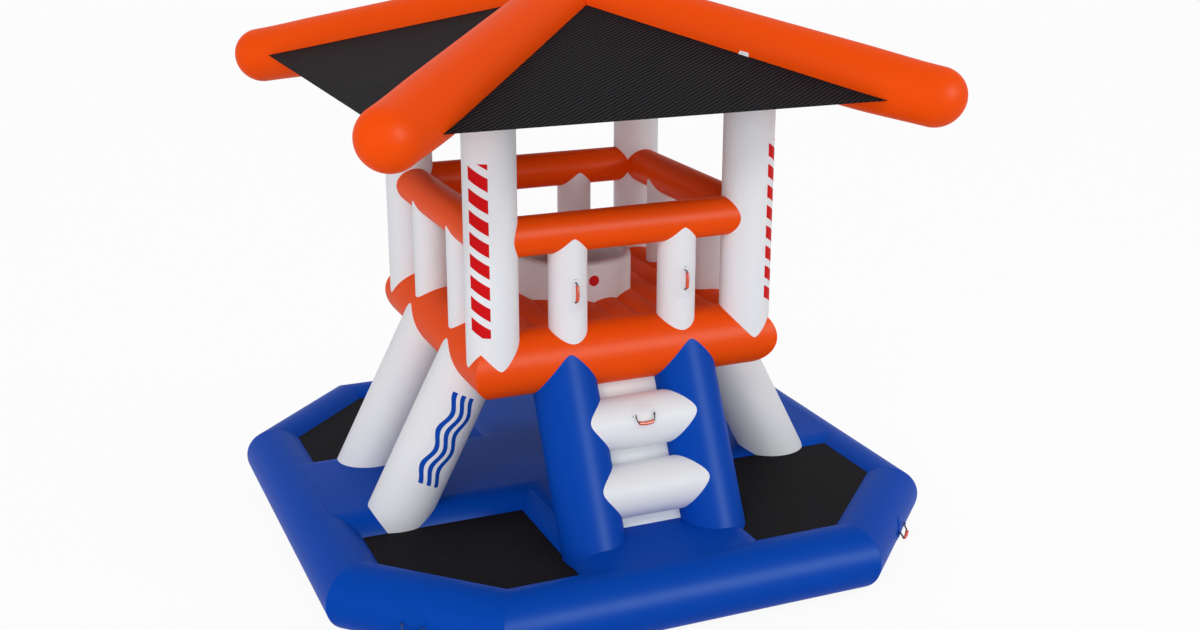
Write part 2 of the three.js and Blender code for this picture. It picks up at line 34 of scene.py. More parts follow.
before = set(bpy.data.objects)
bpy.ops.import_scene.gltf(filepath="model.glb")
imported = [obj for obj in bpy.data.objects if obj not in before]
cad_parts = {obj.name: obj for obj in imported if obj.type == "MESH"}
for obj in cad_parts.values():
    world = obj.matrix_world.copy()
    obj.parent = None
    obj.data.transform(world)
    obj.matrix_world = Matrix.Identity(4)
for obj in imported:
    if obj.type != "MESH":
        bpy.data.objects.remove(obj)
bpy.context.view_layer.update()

QUARTER = math.pi / 2
TUBE_SIDES = 128
ROD_SIDES = 32
DOME_STEPS = 16
SMOOTH_ANGLE = math.radians(32)
# Each side and the corner that follows it, anticlockwise from above
SIDES = ("front", "right", "rear", "left")
CORNERS = ("front_right", "rear_right", "rear_left", "front_left")

# Small sizes that nobody would change, in metres
DOME_TIP = 0.0008
RIB_WELD, SEAT_WELD = 0.0005, 0.0002
SEAT_SUNK = 0.085
PATCH_SINK, LAYER_SINK, PATCH_ROW = 0.001, 0.0004, 0.004
PATCH_CORNER, TAB_CORNER, TAB_OUT = 0.022, 0.006, 0.012
KEEPER_WALL, KEEPER_PLAY = 0.0026, 0.0012
ROLL_FROM, ROLL_TO, ROLL_EDGE = 0.0715, 0.1005, 0.0014
GRIP_BOW, GRIP_DROP = 0.009, 0.003
VALVE_HOLE, VALVE_HOLE_DEPTH, VALVE_PATCH = 0.0305, 0.12, 0.062


def hex_colour(text):
    """Turns a colour written as six hex digits into linear red, green and blue."""
    def linear(level):
        return level / 12.92 if level <= 0.04045 else ((level + 0.055) / 1.055) ** 2.4
    return tuple(linear(int(text[i:i + 2], 16) / 255) for i in (0, 2, 4))


# ---- Sizes and colours

def length(name, description, value):
    return bpy.props.FloatProperty(
        name=name, description=description, default=value, min=0.0, unit="LENGTH", precision=4)


def angle(name, description, degrees):
    return bpy.props.FloatProperty(
        name=name, description=description, default=math.radians(degrees), subtype="ANGLE")


def colour(name, description, text):
    return bpy.props.FloatVectorProperty(
        name=name, description=description, default=hex_colour(text), subtype="COLOR",
        size=3, min=0.0, max=1.0)


def share(name, description, value):
    return bpy.props.FloatProperty(
        name=name, description=description, default=value, min=0.0, max=1.0, subtype="FACTOR")


class TowerSizes(bpy.types.PropertyGroup):
    """Sizes of the tubes, nets and steps."""

    base_reach: length("Base reach", "Axis of a straight base tube from the middle", 2.25)
    base_corner: length("Base corner", "Axis corner of the base ring along its side", 1.4)
    base_radius: length("Base tube radius", "Radius of the base ring's tubes", 0.25)
    arm_reach: length("Arm reach", "Half length of a platform arm", 2.22)
    arm_half: length("Arm half width", "Middle of the arm's round edge from its middle", 0.5)
    arm_radius: length("Arm edge radius", "Radius of the platform's round edge", 0.25)
    deck_reach: length("Deck reach", "Axis of a deck tube from the middle", 1.0)
    deck_height: length("Deck height", "Axis of the deck ring above the water", 1.717)
    deck_radius: length("Deck tube radius", "Radius of the deck ring's tubes", 0.25)
    rib_crest: length("Rib crest", "Top of the deck floor's ribs", 1.965)
    rib_radius: length("Rib radius", "Radius of the deck floor's ribs", 0.26)
    floor_bottom: length("Floor bottom", "Underside of the deck floor", 1.73)
    rib_spacing: length("Rib spacing", "From one rib to the next", 0.216)
    lean_radius: length("Leg radius", "Radius of the legs and ladder stringers", 0.248)
    foot_reach: length("Foot reach", "Where a leg's axis meets the platform's top", 1.632)
    foot_bottom: length("Foot bottom", "Lowest point of the legs", 0.255)
    board_thickness: length("Board thickness", "Thickness of the ladder board", 0.06)
    board_set_back: length("Board set-back", "Ladder board behind the stringers' axes", 0.022)
    step_radius: length("Step radius", "Radius of the ladder's bolster steps", 0.205)
    step_proud: length("Step proud", "Bolster axis in front of the stringers' axes", 0.035)
    first_step: length("First step", "Upper bolster down the slope", 0.571)
    step_spacing: length("Step spacing", "From one bolster to the next", 0.515)
    post_reach: length("Post reach", "Corner posts and rails from the middle", 1.05)
    post_radius: length("Post radius", "Radius of the corner posts", 0.198)
    rail_height: length("Rail height", "Axis of the rails", 2.704)
    rail_radius: length("Rail radius", "Radius of the rails", 0.15)
    pillar_radius: length("Pillar radius", "Radius of the small pillars", 0.148)
    pillar_offset: length("Pillar offset", "Small pillars from the middle of their side", 0.45)
    hip_radius: length("Roof tube radius", "Radius of the roof tubes", 0.238)
    hip_end_radius: length("Roof tube end radius", "Radius of the roof tubes' domes", 0.225)
    hip_top: length("Roof top", "Where the roof tubes' axes meet", 4.319)
    hip_end_reach: length("Roof tube reach", "Middle of a roof tube's dome along x and y", 2.036)
    hip_end_height: length("Roof tube end height", "Middle of a roof tube's dome", 3.685)
    hip_shoulder: length("Roof tube shoulder", "Where a roof tube starts to narrow", 0.62)
    hip_rise: length("Roof tube rise", "How far a roof tube's end curls up", 0.012)
    seat_radius: length("Seat wall radius", "Outside of the round seat wall", 0.49)
    seat_wall: length("Seat wall thickness", "Thickness of the round seat wall", 0.1)
    seat_top: length("Seat wall top", "Top of the round seat wall", 2.265)
    seat_edge: length("Seat wall edge", "Rounding of the seat wall's top edges", 0.04)


class NetSizes(bpy.types.PropertyGroup):
    """Sizes of the nets and of their mesh."""

    thickness: length("Net thickness", "Thickness of the nets", 0.003)
    front_left: length("Front left height", "Floor net at the front left", 0.362)
    front_right: length("Front right height", "Floor net at the front right", 0.454)
    rear: length("Rear height", "Floor nets at the rear", 0.427)
    roof_middle: length("Roof net top", "Roof nets' plane at the middle", 4.388)
    roof_eave: length("Roof net edge height", "Front and rear nets' plane at the eave", 3.684)
    roof_reach: length("Roof net reach", "Front and rear eaves from the middle", 1.978)
    side_eave: length("Side net edge height", "Side nets' plane at the eave", 3.735)
    side_reach: length("Side net reach", "Side eaves from the middle", 2.042)
    spacing: length("Mesh spacing", "From one net cord to the next", 0.028)
    roof_open: share("Roof net openness", "Open share of the roof nets", 0.03)
    floor_open: share("Floor net openness", "Open share of the floor nets", 0.012)


class HandleSizes(bpy.types.PropertyGroup):
    """Sizes of the grab handles and the patches under them."""

    grip_length: length("Grip length", "Length of the grip", 0.12)
    grip_radius: length("Grip radius", "Radius of the grip", 0.0145)
    strap_width: length("Strap width", "Width of the webbing", 0.013)
    strap_thickness: length("Strap thickness", "Thickness of the webbing", 0.003)
    barrel_radius: length("Barrel radius", "Rolled webbing in the keepers", 0.0062)
    barrel_lift: length("Barrel lift", "Rolled webbing above the patch", 0.009)
    patch_layer: length("Patch layer", "Thickness of one patch layer", 0.003)
    round_patch: length("Round patch", "Radius of a round patch's lower layer", 0.105)
    long_patch: length("Long patch", "Half length of a long patch's lower layer", 0.155)
    long_patch_width: length("Long patch width", "Half width of a long patch's lower layer", 0.084)
    patch_rim: length("Patch rim", "Lower patch layer around the upper one", 0.03)
    keeper_middle: length("Keeper place", "Keeper loops from the grip's middle", 0.091)
    keeper_length: length("Keeper length", "Length of a keeper loop", 0.018)
    pillar_height: length("Pillar handle height", "Middle of the handles on the pillars", 2.277)
    pillar_reach: length("Pillar handle reach", "Grip from its hinge on the pillars", 0.035)
    hanging_reach: length("Hanging handle reach", "Grip from its hinge elsewhere", 0.06)
    hanging: angle("Hanging", "How far the loose handles hang below level", 60)
    step_tilt: angle("Step handle tilt", "Patch on the step above level", 31)
    base_tilt: angle("Base handle tilt", "Patches on the base above level", 2)


class TowerColours(bpy.types.PropertyGroup):
    """Colours of the tower."""

    orange: colour("Orange fabric", "Deck, rails and roof tubes", "F04E09")
    blue: colour("Blue fabric", "Base, platform and stringers", "0345AE")
    white: colour("White fabric", "Legs, posts, pillars, steps and seat", "E9EAED")
    net: colour("Net cord", "Roof and floor nets", "151416")
    webbing: colour("Webbing", "Handle straps and keepers", "17181B")
    grip: colour("Grip", "Handle grips", "DB4216")
    marks: colour("Red marks", "Bars and disc", "D01418")
    valve: colour("Valve", "Valve body and cap", "3A3D42")
    stem: colour("Valve poppet", "Valve poppet", "D8DADE")
    floor: colour("Floor", "Studio floor", "F4F5F6")


# ---- Shader bench

def arithmetic(operation, swapped=False):
    """A method that works with a wire and a number, or two wires, through a shader node."""
    def work(self, other):
        pair = (other, self) if swapped else (self, other)
        return self.math(operation, *pair)
    return work


class Wire:
    """One output of a shader node, which takes part in plain sums."""

    def __init__(self, bench, socket):
        self.bench = bench
        self.socket = socket

    def math(self, operation, *values):
        return self.bench.node("ShaderNodeMath", values, operation=operation)

    __add__, __radd__ = arithmetic("ADD"), arithmetic("ADD", swapped=True)
    __sub__, __rsub__ = arithmetic("SUBTRACT"), arithmetic("SUBTRACT", swapped=True)
    __mul__, __truediv__ = arithmetic("MULTIPLY"), arithmetic("DIVIDE")
    __lt__, __gt__ = arithmetic("LESS_THAN"), arithmetic("GREATER_THAN")

    def wave(self, spacing):
        """A sine that repeats at a spacing."""
        return self.math("SINE", self * (2 * math.pi / spacing))

    def part(self, spacing):
        """How far along its cell a place is, from 0 to 1."""
        return self.math("FRACT", self / spacing)

    def size(self):
        return self.math("ABSOLUTE", self)

    def clipped(self):
        return self.bench.node("ShaderNodeClamp", (self,))


class Bench:
    """The node tree of one material, or of the world."""

    def __init__(self, owner):
        self.owner = owner
        owner.use_nodes = True
        self.tree = owner.node_tree
        self.tree.nodes.clear()

    def node(self, kind, inputs=(), output=0, **settings):
        """Adds a node, sets it, fills its sockets and gives one of its outputs."""
        made = self.tree.nodes.new(kind)
        for key, value in settings.items():
            setattr(made, key, value)
        pairs = inputs.items() if isinstance(inputs, dict) else enumerate(inputs)
        for key, value in pairs:
            if isinstance(value, Wire):
                self.tree.links.new(value.socket, made.inputs[key])
            else:
                made.inputs[key].default_value = value
        return Wire(self, made.outputs[output]) if made.outputs else None

    def place(self):
        return self.node("ShaderNodeTexCoord", output="Object")

    def backdrop_rays(self):
        """One for the rays that see the plain backdrop: from the camera, gloss and glass."""
        kinds = [self.node("ShaderNodeLightPath", output=f"Is {kind} Ray")
                 for kind in ("Camera", "Glossy", "Transmission")]
        return (kinds[0] + kinds[1] + kinds[2]).clipped()

    def cloth(self):
        return self.node("ShaderNodeTexCoord", output="UV")

    def split(self, vector):
        first = self.node("ShaderNodeSeparateXYZ", (vector,))
        parts = first.socket.node.outputs
        return [Wire(self, parts[i]) for i in range(3)]

    def along(self, vector, direction):
        return self.node(
            "ShaderNodeVectorMath", (vector, tuple(direction)), output="Value",
            operation="DOT_PRODUCT")

    def noise(self, vector, scale, detail=2.0):
        return self.node(
            "ShaderNodeTexNoise", {"Vector": vector, "Scale": scale, "Detail": detail},
            output="Fac")

    def blend(self, factor, first, second):
        return self.node(
            "ShaderNodeMix", {0: factor, 6: solid(first), 7: solid(second)}, output=2,
            data_type="RGBA")

    def surface(self, **sockets):
        names = {key.replace("_", " "): value for key, value in sockets.items()}
        shader = self.node("ShaderNodeBsdfPrincipled", names)
        self.node("ShaderNodeOutputMaterial", {"Surface": shader})
        return self.owner

    def bump(self, height, distance, strength):
        return self.node(
            "ShaderNodeBump", {"Height": height, "Distance": distance, "Strength": strength},
            output="Normal")


def solid(value):
    """A colour with its alpha, or a wire as it is."""
    return value if isinstance(value, Wire) else (*value, 1.0)


def fresh_bench(name):
    return Bench(bpy.data.materials.new(name))


def shade(tone, factor):
    return tuple(min(1.0, level * factor) for level in tone)


# ---- Materials

FABRIC_WEAVE = 0.0016
FABRIC_SHEEN = 0.03
# Bars: height of a cell, red share of it, slant, half width, and where the column starts and ends
BAR_CELL, BAR_SHARE, BAR_SLANT, BAR_HALF_WIDTH = 0.16, 0.62, 0.55, 0.078
BARS_FROM, BARS_TO, BARS_START = 2.01, 3.3, 2.02
# Bands: how long and high a wave is, from band to band, half width of one in it and of all three
WAVE_LENGTH, WAVE_HEIGHT = 0.3, 0.022
BAND_SPACING, BAND_SHARE, BANDS_HALF_WIDTH = 0.07, 0.27, 0.105
BANDS_FROM, BANDS_TO = 0.36, 1.12
# Disc on the seat wall: height, radius, and how far out the wall has to be to show it
DISC_HEIGHT, DISC_RADIUS, DISC_FACE = 2.122, 0.044, 0.44
materials = {}


def coated_fabric(name, tone, marks=None, mark_tone=None):
    """Coated fabric: a soft sheen, a fine weave, slow changes of shade and printed marks."""
    bench = fresh_bench(name)
    place = bench.place()
    across, up, _ = bench.split(bench.cloth())
    drift = bench.noise(place, 1.1, 3.0)
    cloudy = bench.noise(place, 9.0, 4.0)
    grain = bench.noise(place, 420.0, 2.0)
    base = bench.blend((drift - 0.5) * 0.8 + 0.5, shade(tone, 0.95), shade(tone, 1.05))
    base = bench.blend((cloudy - 0.56).clipped() * 0.25, base, shade(tone, 0.82))
    gloss = 0.37 + cloudy * 0.04 + grain * 0.04
    if marks is not None:
        mask = marks(bench, place)
        base = bench.blend(mask, base, mark_tone)
        gloss = gloss + mask * 0.05
    weave = across.wave(FABRIC_WEAVE) * up.wave(FABRIC_WEAVE)
    height = weave * 0.5 + grain * 0.4
    fine = bench.bump(height, 0.00006, 0.35)
    return bench.surface(
        Base_Color=base, Roughness=gloss, Normal=fine, Specular_IOR_Level=FABRIC_SHEEN)


def net_cloth(name, tone, spacing, openness):
    """Open mesh: thick cords on the bias, thinner cords across them and light between."""
    bench = fresh_bench(name)
    place = bench.place()
    cloth = bench.node(
        "ShaderNodeMapping", {"Vector": bench.cloth(), "Rotation": (0, 0, math.radians(-31))})
    across, up, _ = bench.split(cloth)
    cord = up.wave(spacing) * 0.5 + 0.5
    thin_cord = across.wave(spacing * 0.7) * 0.5 + 0.5
    drift = bench.noise(place, 3.0, 3.0)
    # Painted light and shade: the cord crests are painted lighter, standing for lit cord tops, and
    # the gaps between cords near black, standing for the shade seen through the holes; the layout
    # of cords and gaps is the net's own pattern.
    lit = bench.blend(
        cord * 0.75 + thin_cord * 0.1 + drift * 0.15, shade(tone, 0.15), shade(tone, 3.6))
    gaps = (1 - cord) * (1 - thin_cord)
    fine = bench.bump(cord + thin_cord * 0.25, 0.0016, 0.5)
    return bench.surface(
        Base_Color=lit, Roughness=0.6 + drift * 0.12, Alpha=1 - gaps * (4 * openness),
        Normal=fine, Specular_IOR_Level=0.02)


def ribbed_webbing(name, tone):
    """Woven webbing with fine ribs along it."""
    bench = fresh_bench(name)
    place = bench.place()
    across, up, _ = bench.split(bench.cloth())
    ribs = across.wave(0.0014) * up.wave(0.0022)
    base = bench.blend(ribs * 0.5 + 0.5, shade(tone, 0.6), shade(tone, 1.5))
    fine = bench.bump(ribs, 0.0004, 0.6)
    return bench.surface(
        Base_Color=base, Roughness=0.74 + bench.noise(place, 60.0) * 0.1, Normal=fine)


def moulded(name, tone, roughness, grain_scale):
    """Moulded rubber or plastic with a fine grain."""
    bench = fresh_bench(name)
    place = bench.place()
    grain = bench.noise(place, grain_scale, 3.0)
    wear = bench.noise(place, 30.0, 3.0)
    base = bench.blend(wear, shade(tone, 0.9), shade(tone, 1.06))
    fine = bench.bump(grain, 0.0002, 0.4)
    return bench.surface(Base_Color=base, Roughness=roughness + wear * 0.08, Normal=fine)


def post_bars(side, end):
    """A column of slanted bars down a corner post, facing its corner."""
    def marks(bench, place):
        reach = bpy.context.scene.tower_sizes.post_reach
        outward = Vector((side, end, 0)).normalized()
        sideways = Vector((0, 0, 1)).cross(outward)
        centre = Vector((side * reach, end * reach, 0))
        across = bench.along(place, sideways) - centre.dot(sideways)
        facing = bench.along(place, outward) - centre.dot(outward)
        _, _, up = bench.split(place)
        cell = (up + across * BAR_SLANT - BARS_START).part(BAR_CELL)
        inside = (across.size() < BAR_HALF_WIDTH) * (facing > 0) * (cell < BAR_SHARE)
        return inside * (up > BARS_FROM) * (up < BARS_TO)
    return marks


def wave_bands(centre, down, outward):
    """Three wavy bands along a leaning tube, on the side that faces outward."""
    centre, down, outward = Vector(centre), Vector(down), Vector(outward)
    sideways = down.cross(outward)

    def marks(bench, place):
        along = bench.along(place, down) - centre.dot(down)
        across = bench.along(place, sideways) - centre.dot(sideways)
        facing = bench.along(place, outward) - centre.dot(outward)
        line = across - along.wave(WAVE_LENGTH) * WAVE_HEIGHT
        band = ((line + BANDS_HALF_WIDTH).part(BAND_SPACING) - 0.5).size() < BAND_SHARE
        trimmed = (line.size() < BANDS_HALF_WIDTH) * (along > BANDS_FROM) * (along < BANDS_TO)
        return band * trimmed * (facing > 0)
    return marks


def seat_disc(bench, place):
    """A plain round disc on the front of the seat wall."""
    across, inward, up = bench.split(place)
    height = up - DISC_HEIGHT
    away = bench.node("ShaderNodeMath", (across * across + height * height,), operation="SQRT")
    return (away < DISC_RADIUS) * (inward < -DISC_FACE)


# ---- Modelling by hand

def clear_selection():
    if bpy.context.object and bpy.context.object.mode != "OBJECT":
        bpy.ops.object.mode_set(mode="OBJECT")
    bpy.ops.object.select_all(action="DESELECT")


def take(piece):
    """Selects one piece and makes it the active one."""
    clear_selection()
    piece.select_set(True)
    bpy.context.view_layer.objects.active = piece
    return piece


def open_mesh(piece):
    take(piece)
    bpy.ops.object.mode_set(mode="EDIT")
    bpy.ops.mesh.select_all(action="SELECT")


def face_out():
    """Turns all faces of the open mesh outwards."""
    bpy.ops.mesh.select_all(action="SELECT")
    bpy.ops.mesh.normals_make_consistent(inside=False)


def extrude(*step):
    """Pulls the selected part of the open mesh out by a step."""
    bpy.ops.mesh.extrude_region_move(TRANSFORM_OT_translate={"value": step})


def close_mesh():
    bpy.ops.object.mode_set(mode="OBJECT")


def pick(piece, test, kind="VERT"):
    """Opens a piece's mesh with only those points or faces selected that pass a test."""
    open_mesh(piece)
    bpy.ops.mesh.select_mode(type=kind)
    bpy.ops.mesh.select_all(action="DESELECT")
    close_mesh()
    for part in (piece.data.vertices if kind == "VERT" else piece.data.polygons):
        part.select = test(part)
    bpy.ops.object.mode_set(mode="EDIT")


def settle(piece, name=None):
    """Moves a piece's place and turn into its mesh."""
    take(piece)
    if name:
        piece.name = name
        piece.data.name = name
    bpy.ops.object.transform_apply(location=True, rotation=True, scale=True)
    return piece


def stretch_uv(piece, across, up):
    """Scales a piece's UV map, so that it is in metres."""
    for corner in piece.data.uv_layers.active.data:
        corner.uv = (corner.uv[0] * across, corner.uv[1] * up)


def lay_cloth(piece):
    """Gives a piece a UV map in metres, laid from its six sides."""
    if not piece.data.uv_layers:
        piece.data.uv_layers.new(name="UVMap")
    open_mesh(piece)
    bpy.ops.uv.cube_project(cube_size=1.0, correct_aspect=False)
    close_mesh()


def tube(name, start, end, radius, sides=TUBE_SIDES):
    """A round tube between two points."""
    start, end = Vector(start), Vector(end)
    run = end - start
    clear_selection()
    bpy.ops.mesh.primitive_cylinder_add(
        vertices=sides, radius=radius, depth=run.length, location=(start + end) / 2,
        rotation=run.to_track_quat("Z", "Y").to_euler())
    piece = settle(bpy.context.object, name)
    stretch_uv(piece, 2 * math.pi * radius, 2 * run.length)
    return piece


def pulled(name, pairs, sides=ROD_SIDES):
    """A round body about the z axis, pulled ring by ring from pairs of radius and height."""
    clear_selection()
    radius, height = pairs[0]
    bpy.ops.mesh.primitive_circle_add(
        vertices=sides, radius=radius, location=(0, 0, height), fill_type="NGON")
    piece = bpy.context.object
    open_mesh(piece)
    for next_radius, next_height in pairs[1:]:
        extrude(0, 0, next_height - height)
        scale = next_radius / radius
        bpy.ops.transform.resize(value=(scale, scale, 1), center_override=(0, 0, next_height))
        radius, height = next_radius, next_height
    face_out()
    close_mesh()
    settle(piece, name)
    lay_cloth(piece)
    return piece


def block(name, size, centre=(0, 0, 0)):
    clear_selection()
    bpy.ops.mesh.primitive_cube_add(size=1, location=centre)
    piece = bpy.context.object
    piece.scale = size
    return settle(piece, name)


def flat_face(name, corners):
    """One flat face over an outline."""
    clear_selection()
    bpy.ops.mesh.primitive_circle_add(vertices=len(corners), radius=1, fill_type="NGON")
    face = bpy.context.object
    for vertex, corner in zip(face.data.vertices, corners):
        vertex.co = corner
    return settle(face, name)


def placed(piece, matrix):
    """Moves a piece by a frame, into its mesh."""
    piece.matrix_world = matrix @ piece.matrix_world
    return settle(piece)


def copied(piece, name, turn=0.0):
    """A copy with its own mesh, turned about the tower's middle."""
    take(piece)
    bpy.ops.object.duplicate()
    twin = bpy.context.object
    twin.rotation_euler = (0, 0, turn)
    return settle(twin, name)


def slice_off(piece, place, outward):
    """Cuts away what lies beyond a plane, and closes the cut."""
    open_mesh(piece)
    bpy.ops.mesh.bisect(
        plane_co=place, plane_no=outward, use_fill=True, clear_outer=True)
    close_mesh()
    return piece


def changed(piece, kind, **settings):
    """Gives a piece a modifier with some settings, and applies it."""
    take(piece)
    modifier = piece.modifiers.new(kind.capitalize(), kind)
    for key, value in settings.items():
        setattr(modifier, key, value)
    bpy.ops.object.modifier_apply(modifier=modifier.name)
    return piece


def shape_with(piece, others, operation="DIFFERENCE"):
    """Cuts a piece with others, or joins it with them."""
    for other in others:
        changed(piece, "BOOLEAN", operation=operation, solver="MANIFOLD", object=other)
    return piece


def drop_crumbs(piece):
    """Keeps only the largest of the separate parts that a cut leaves."""
    faces = piece.data.polygons
    sharing = {}
    for face in faces:
        for edge in face.edge_keys:
            sharing.setdefault(edge, set()).add(face.index)
    left, parts = set(range(len(faces))), []
    while left:
        found = {left.pop()}
        part = set()
        while found:
            part |= found
            found = {other for index in found for edge in faces[index].edge_keys
                     for other in sharing[edge]} & left
            left -= found
        parts.append(part)
    largest = max(parts, key=len)
    pick(piece, lambda face: face.index not in largest, "FACE")
    bpy.ops.mesh.delete(type="FACE")
    close_mesh()
    return piece


def soften(piece, width, segments=3, limit=40):
    """Rounds the edges that are sharper than a limit in degrees."""
    return changed(piece, "BEVEL", width=width, segments=segments, limit_method="ANGLE",
                   angle_limit=math.radians(limit))


def joined(pieces, name):
    clear_selection()
    for piece in pieces:
        piece.select_set(True)
    bpy.context.view_layer.objects.active = pieces[0]
    bpy.ops.object.join()
    whole = bpy.context.object
    whole.name = name
    whole.data.name = name
    return whole


def put_away(pieces):
    for piece in pieces:
        bpy.data.objects.remove(piece)


def finished(piece, material, body="tower", stands_for=()):
    """Smooths a piece, gives it its material, attaches it to its body and hides the CAD parts it
    stands for.
    """
    take(piece)
    bpy.ops.object.shade_smooth_by_angle(angle=SMOOTH_ANGLE)
    piece.data.materials.clear()
    piece.data.materials.append(materials[material])
    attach(piece, body)
    if stands_for:
        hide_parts(*stands_for)
    return piece


def clothed(piece, material, *stands_for):
    """Finishes a piece of coated fabric."""
    slot = f"{material.split('_')[0]}_fabric"
    return finished(piece, material, stands_for=stands_for)


def stand_in(model, node, quarter, material):
    """A fabric copy of a model, turned by quarters round the tower, that stands for a CAD node."""
    return clothed(copied(model, f"{node}_skin", quarter * QUARTER), material, node)


def ring_tubes(name, corners, radius, picks):
    """Mitred tubes round a closed outline, the picked ones only."""
    count = len(corners)
    heading = [(corners[(i + 1) % count] - corners[i]).normalized() for i in range(count)]
    made = []
    for i in picks:
        start, end = corners[i], corners[(i + 1) % count]
        spare = heading[i] * radius
        piece = tube(f"{name}_{i}", start - spare, end + spare, radius)
        slice_off(piece, start, -(heading[i - 1] + heading[i]).normalized())
        slice_off(piece, end, (heading[i] + heading[(i + 1) % count]).normalized())
        made.append(piece)
    return made


# ---- Shared places

def base_corners(sizes):
    far, near, up = sizes.base_reach, sizes.base_corner, sizes.base_radius
    flat = [(-near, -far), (near, -far), (far, -near), (far, near),
            (near, far), (-near, far), (-far, near), (-far, -near)]
    return [Vector((x, y, up)) for x, y in flat]


def square_corners(reach, height):
    flat = [(-reach, -reach), (reach, -reach), (reach, reach), (-reach, reach)]
    return [Vector((x, y, height)) for x, y in flat]


def lean_axis(sizes):
    """Top, downward direction and outward direction of the front's leaning tubes."""
    top = Vector((0, -sizes.deck_reach, sizes.deck_height))
    foot = Vector((0, -sizes.foot_reach, 2 * sizes.arm_radius))
    down = (foot - top).normalized()
    return top, down, Vector((0, down.z, -down.y))


def hip_axis_height(sizes, reach):
    drop = sizes.hip_top - sizes.hip_end_height
    return sizes.hip_top - drop * reach / sizes.hip_end_reach


# Finished pieces that trim their neighbours, by group
tools = {}


# ---- Operators

class MixMaterials(bpy.types.Operator):
    """Makes every material once, from the colours in the scene"""

    bl_idname = "tower.materials"
    bl_label = "Materials"

    def execute(self, context):
        scene = context.scene
        tones, nets, sizes = scene.tower_colours, scene.net_sizes, scene.tower_sizes
        white, red, blue = tuple(tones.white), tuple(tones.marks), tuple(tones.blue)
        orange = tuple(tones.orange)
        top, down, _ = lean_axis(sizes)
        leg_top = (-sizes.deck_reach, -sizes.arm_half, sizes.deck_height)
        leg_down = Vector((down.y, 0, down.z))
        rear_top = (sizes.deck_reach, sizes.arm_half, sizes.deck_height)
        rear_down = Vector((-down.y, 0, down.z))
        stringer_top = (sizes.arm_half, top.y, top.z)
        for name, (side, end) in zip(CORNERS, ((1, -1), (1, 1), (-1, 1), (-1, -1))):
            materials[f"white_bars_{name}"] = coated_fabric(
                f"White fabric, bars {name}", white, post_bars(side, end), red)
        materials.update({
            "orange": coated_fabric("Orange coated fabric", orange),
            "blue": coated_fabric("Blue coated fabric", blue),
            "white": coated_fabric("White coated fabric", white),
            "white_waves": coated_fabric(
                "White fabric, front wave bands", white,
                wave_bands(leg_top, leg_down, (0, -1, 0)), blue),
            "white_waves_rear": coated_fabric(
                "White fabric, rear wave bands", white,
                wave_bands(rear_top, rear_down, (0, 1, 0)), blue),
            "blue_waves": coated_fabric(
                "Blue fabric, wave bands", blue,
                wave_bands(stringer_top, down, (1, 0, 0)), white),
            "white_disc": coated_fabric("White fabric, red disc", white, seat_disc, red),
            "roof_net": net_cloth("Roof net", tuple(tones.net), nets.spacing, nets.roof_open),
            "floor_net": net_cloth("Floor net", tuple(tones.net), nets.spacing, nets.floor_open),
            "webbing": ribbed_webbing("Black webbing", tuple(tones.webbing)),
            "grip": moulded("Orange-red grip", tuple(tones.grip), 0.38, 900.0),
            "valve": moulded("Grey moulded plastic", tuple(tones.valve), 0.42, 1400.0),
            "stem": moulded("White moulded plastic", tuple(tones.stem), 0.36, 1400.0),
        })
        return {"FINISHED"}


class MakeBaseRing(bpy.types.Operator):
    """Builds the eight mitred tubes of the base ring"""

    bl_idname = "tower.base_ring"
    bl_label = "Base ring"

    def execute(self, context):
        sizes = context.scene.tower_sizes
        straight, slanted = ring_tubes("base", base_corners(sizes), sizes.base_radius, (0, 1))
        tools["base"] = []
        for i, (side, corner) in enumerate(zip(SIDES, CORNERS)):
            for model, name in ((straight, side), (slanted, corner)):
                tools["base"].append(stand_in(model, f"base_tube_{name}", i, "blue"))
        put_away([straight, slanted])
        return {"FINISHED"}


class MakePlatform(bpy.types.Operator):
    """Builds the platform, a cross of two arms with full-round edges"""

    bl_idname = "tower.platform"
    bl_label = "Platform"

    def execute(self, context):
        sizes = context.scene.tower_sizes
        reach, half, radius = sizes.arm_reach, sizes.arm_half, sizes.arm_radius
        clear_selection()
        bpy.ops.mesh.primitive_cylinder_add(
            vertices=TUBE_SIDES, radius=radius, depth=2 * reach, location=(half, 0, radius),
            rotation=(QUARTER, math.pi / TUBE_SIDES, 0))
        arm = settle(bpy.context.object, "platform_cross_skin")
        pick(arm, lambda vertex: vertex.co.x < half)
        bpy.ops.transform.translate(value=(-2 * half, 0, 0))
        close_mesh()
        other = copied(arm, "platform_other_arm", QUARTER)
        shape_with(arm, [other], "UNION")
        put_away([other])
        tools["whole_platform"] = copied(arm, "platform_whole")
        shape_with(arm, tools["base"])
        lay_cloth(arm)
        tools["platform"] = clothed(arm, "blue", "platform_cross")
        return {"FINISHED"}


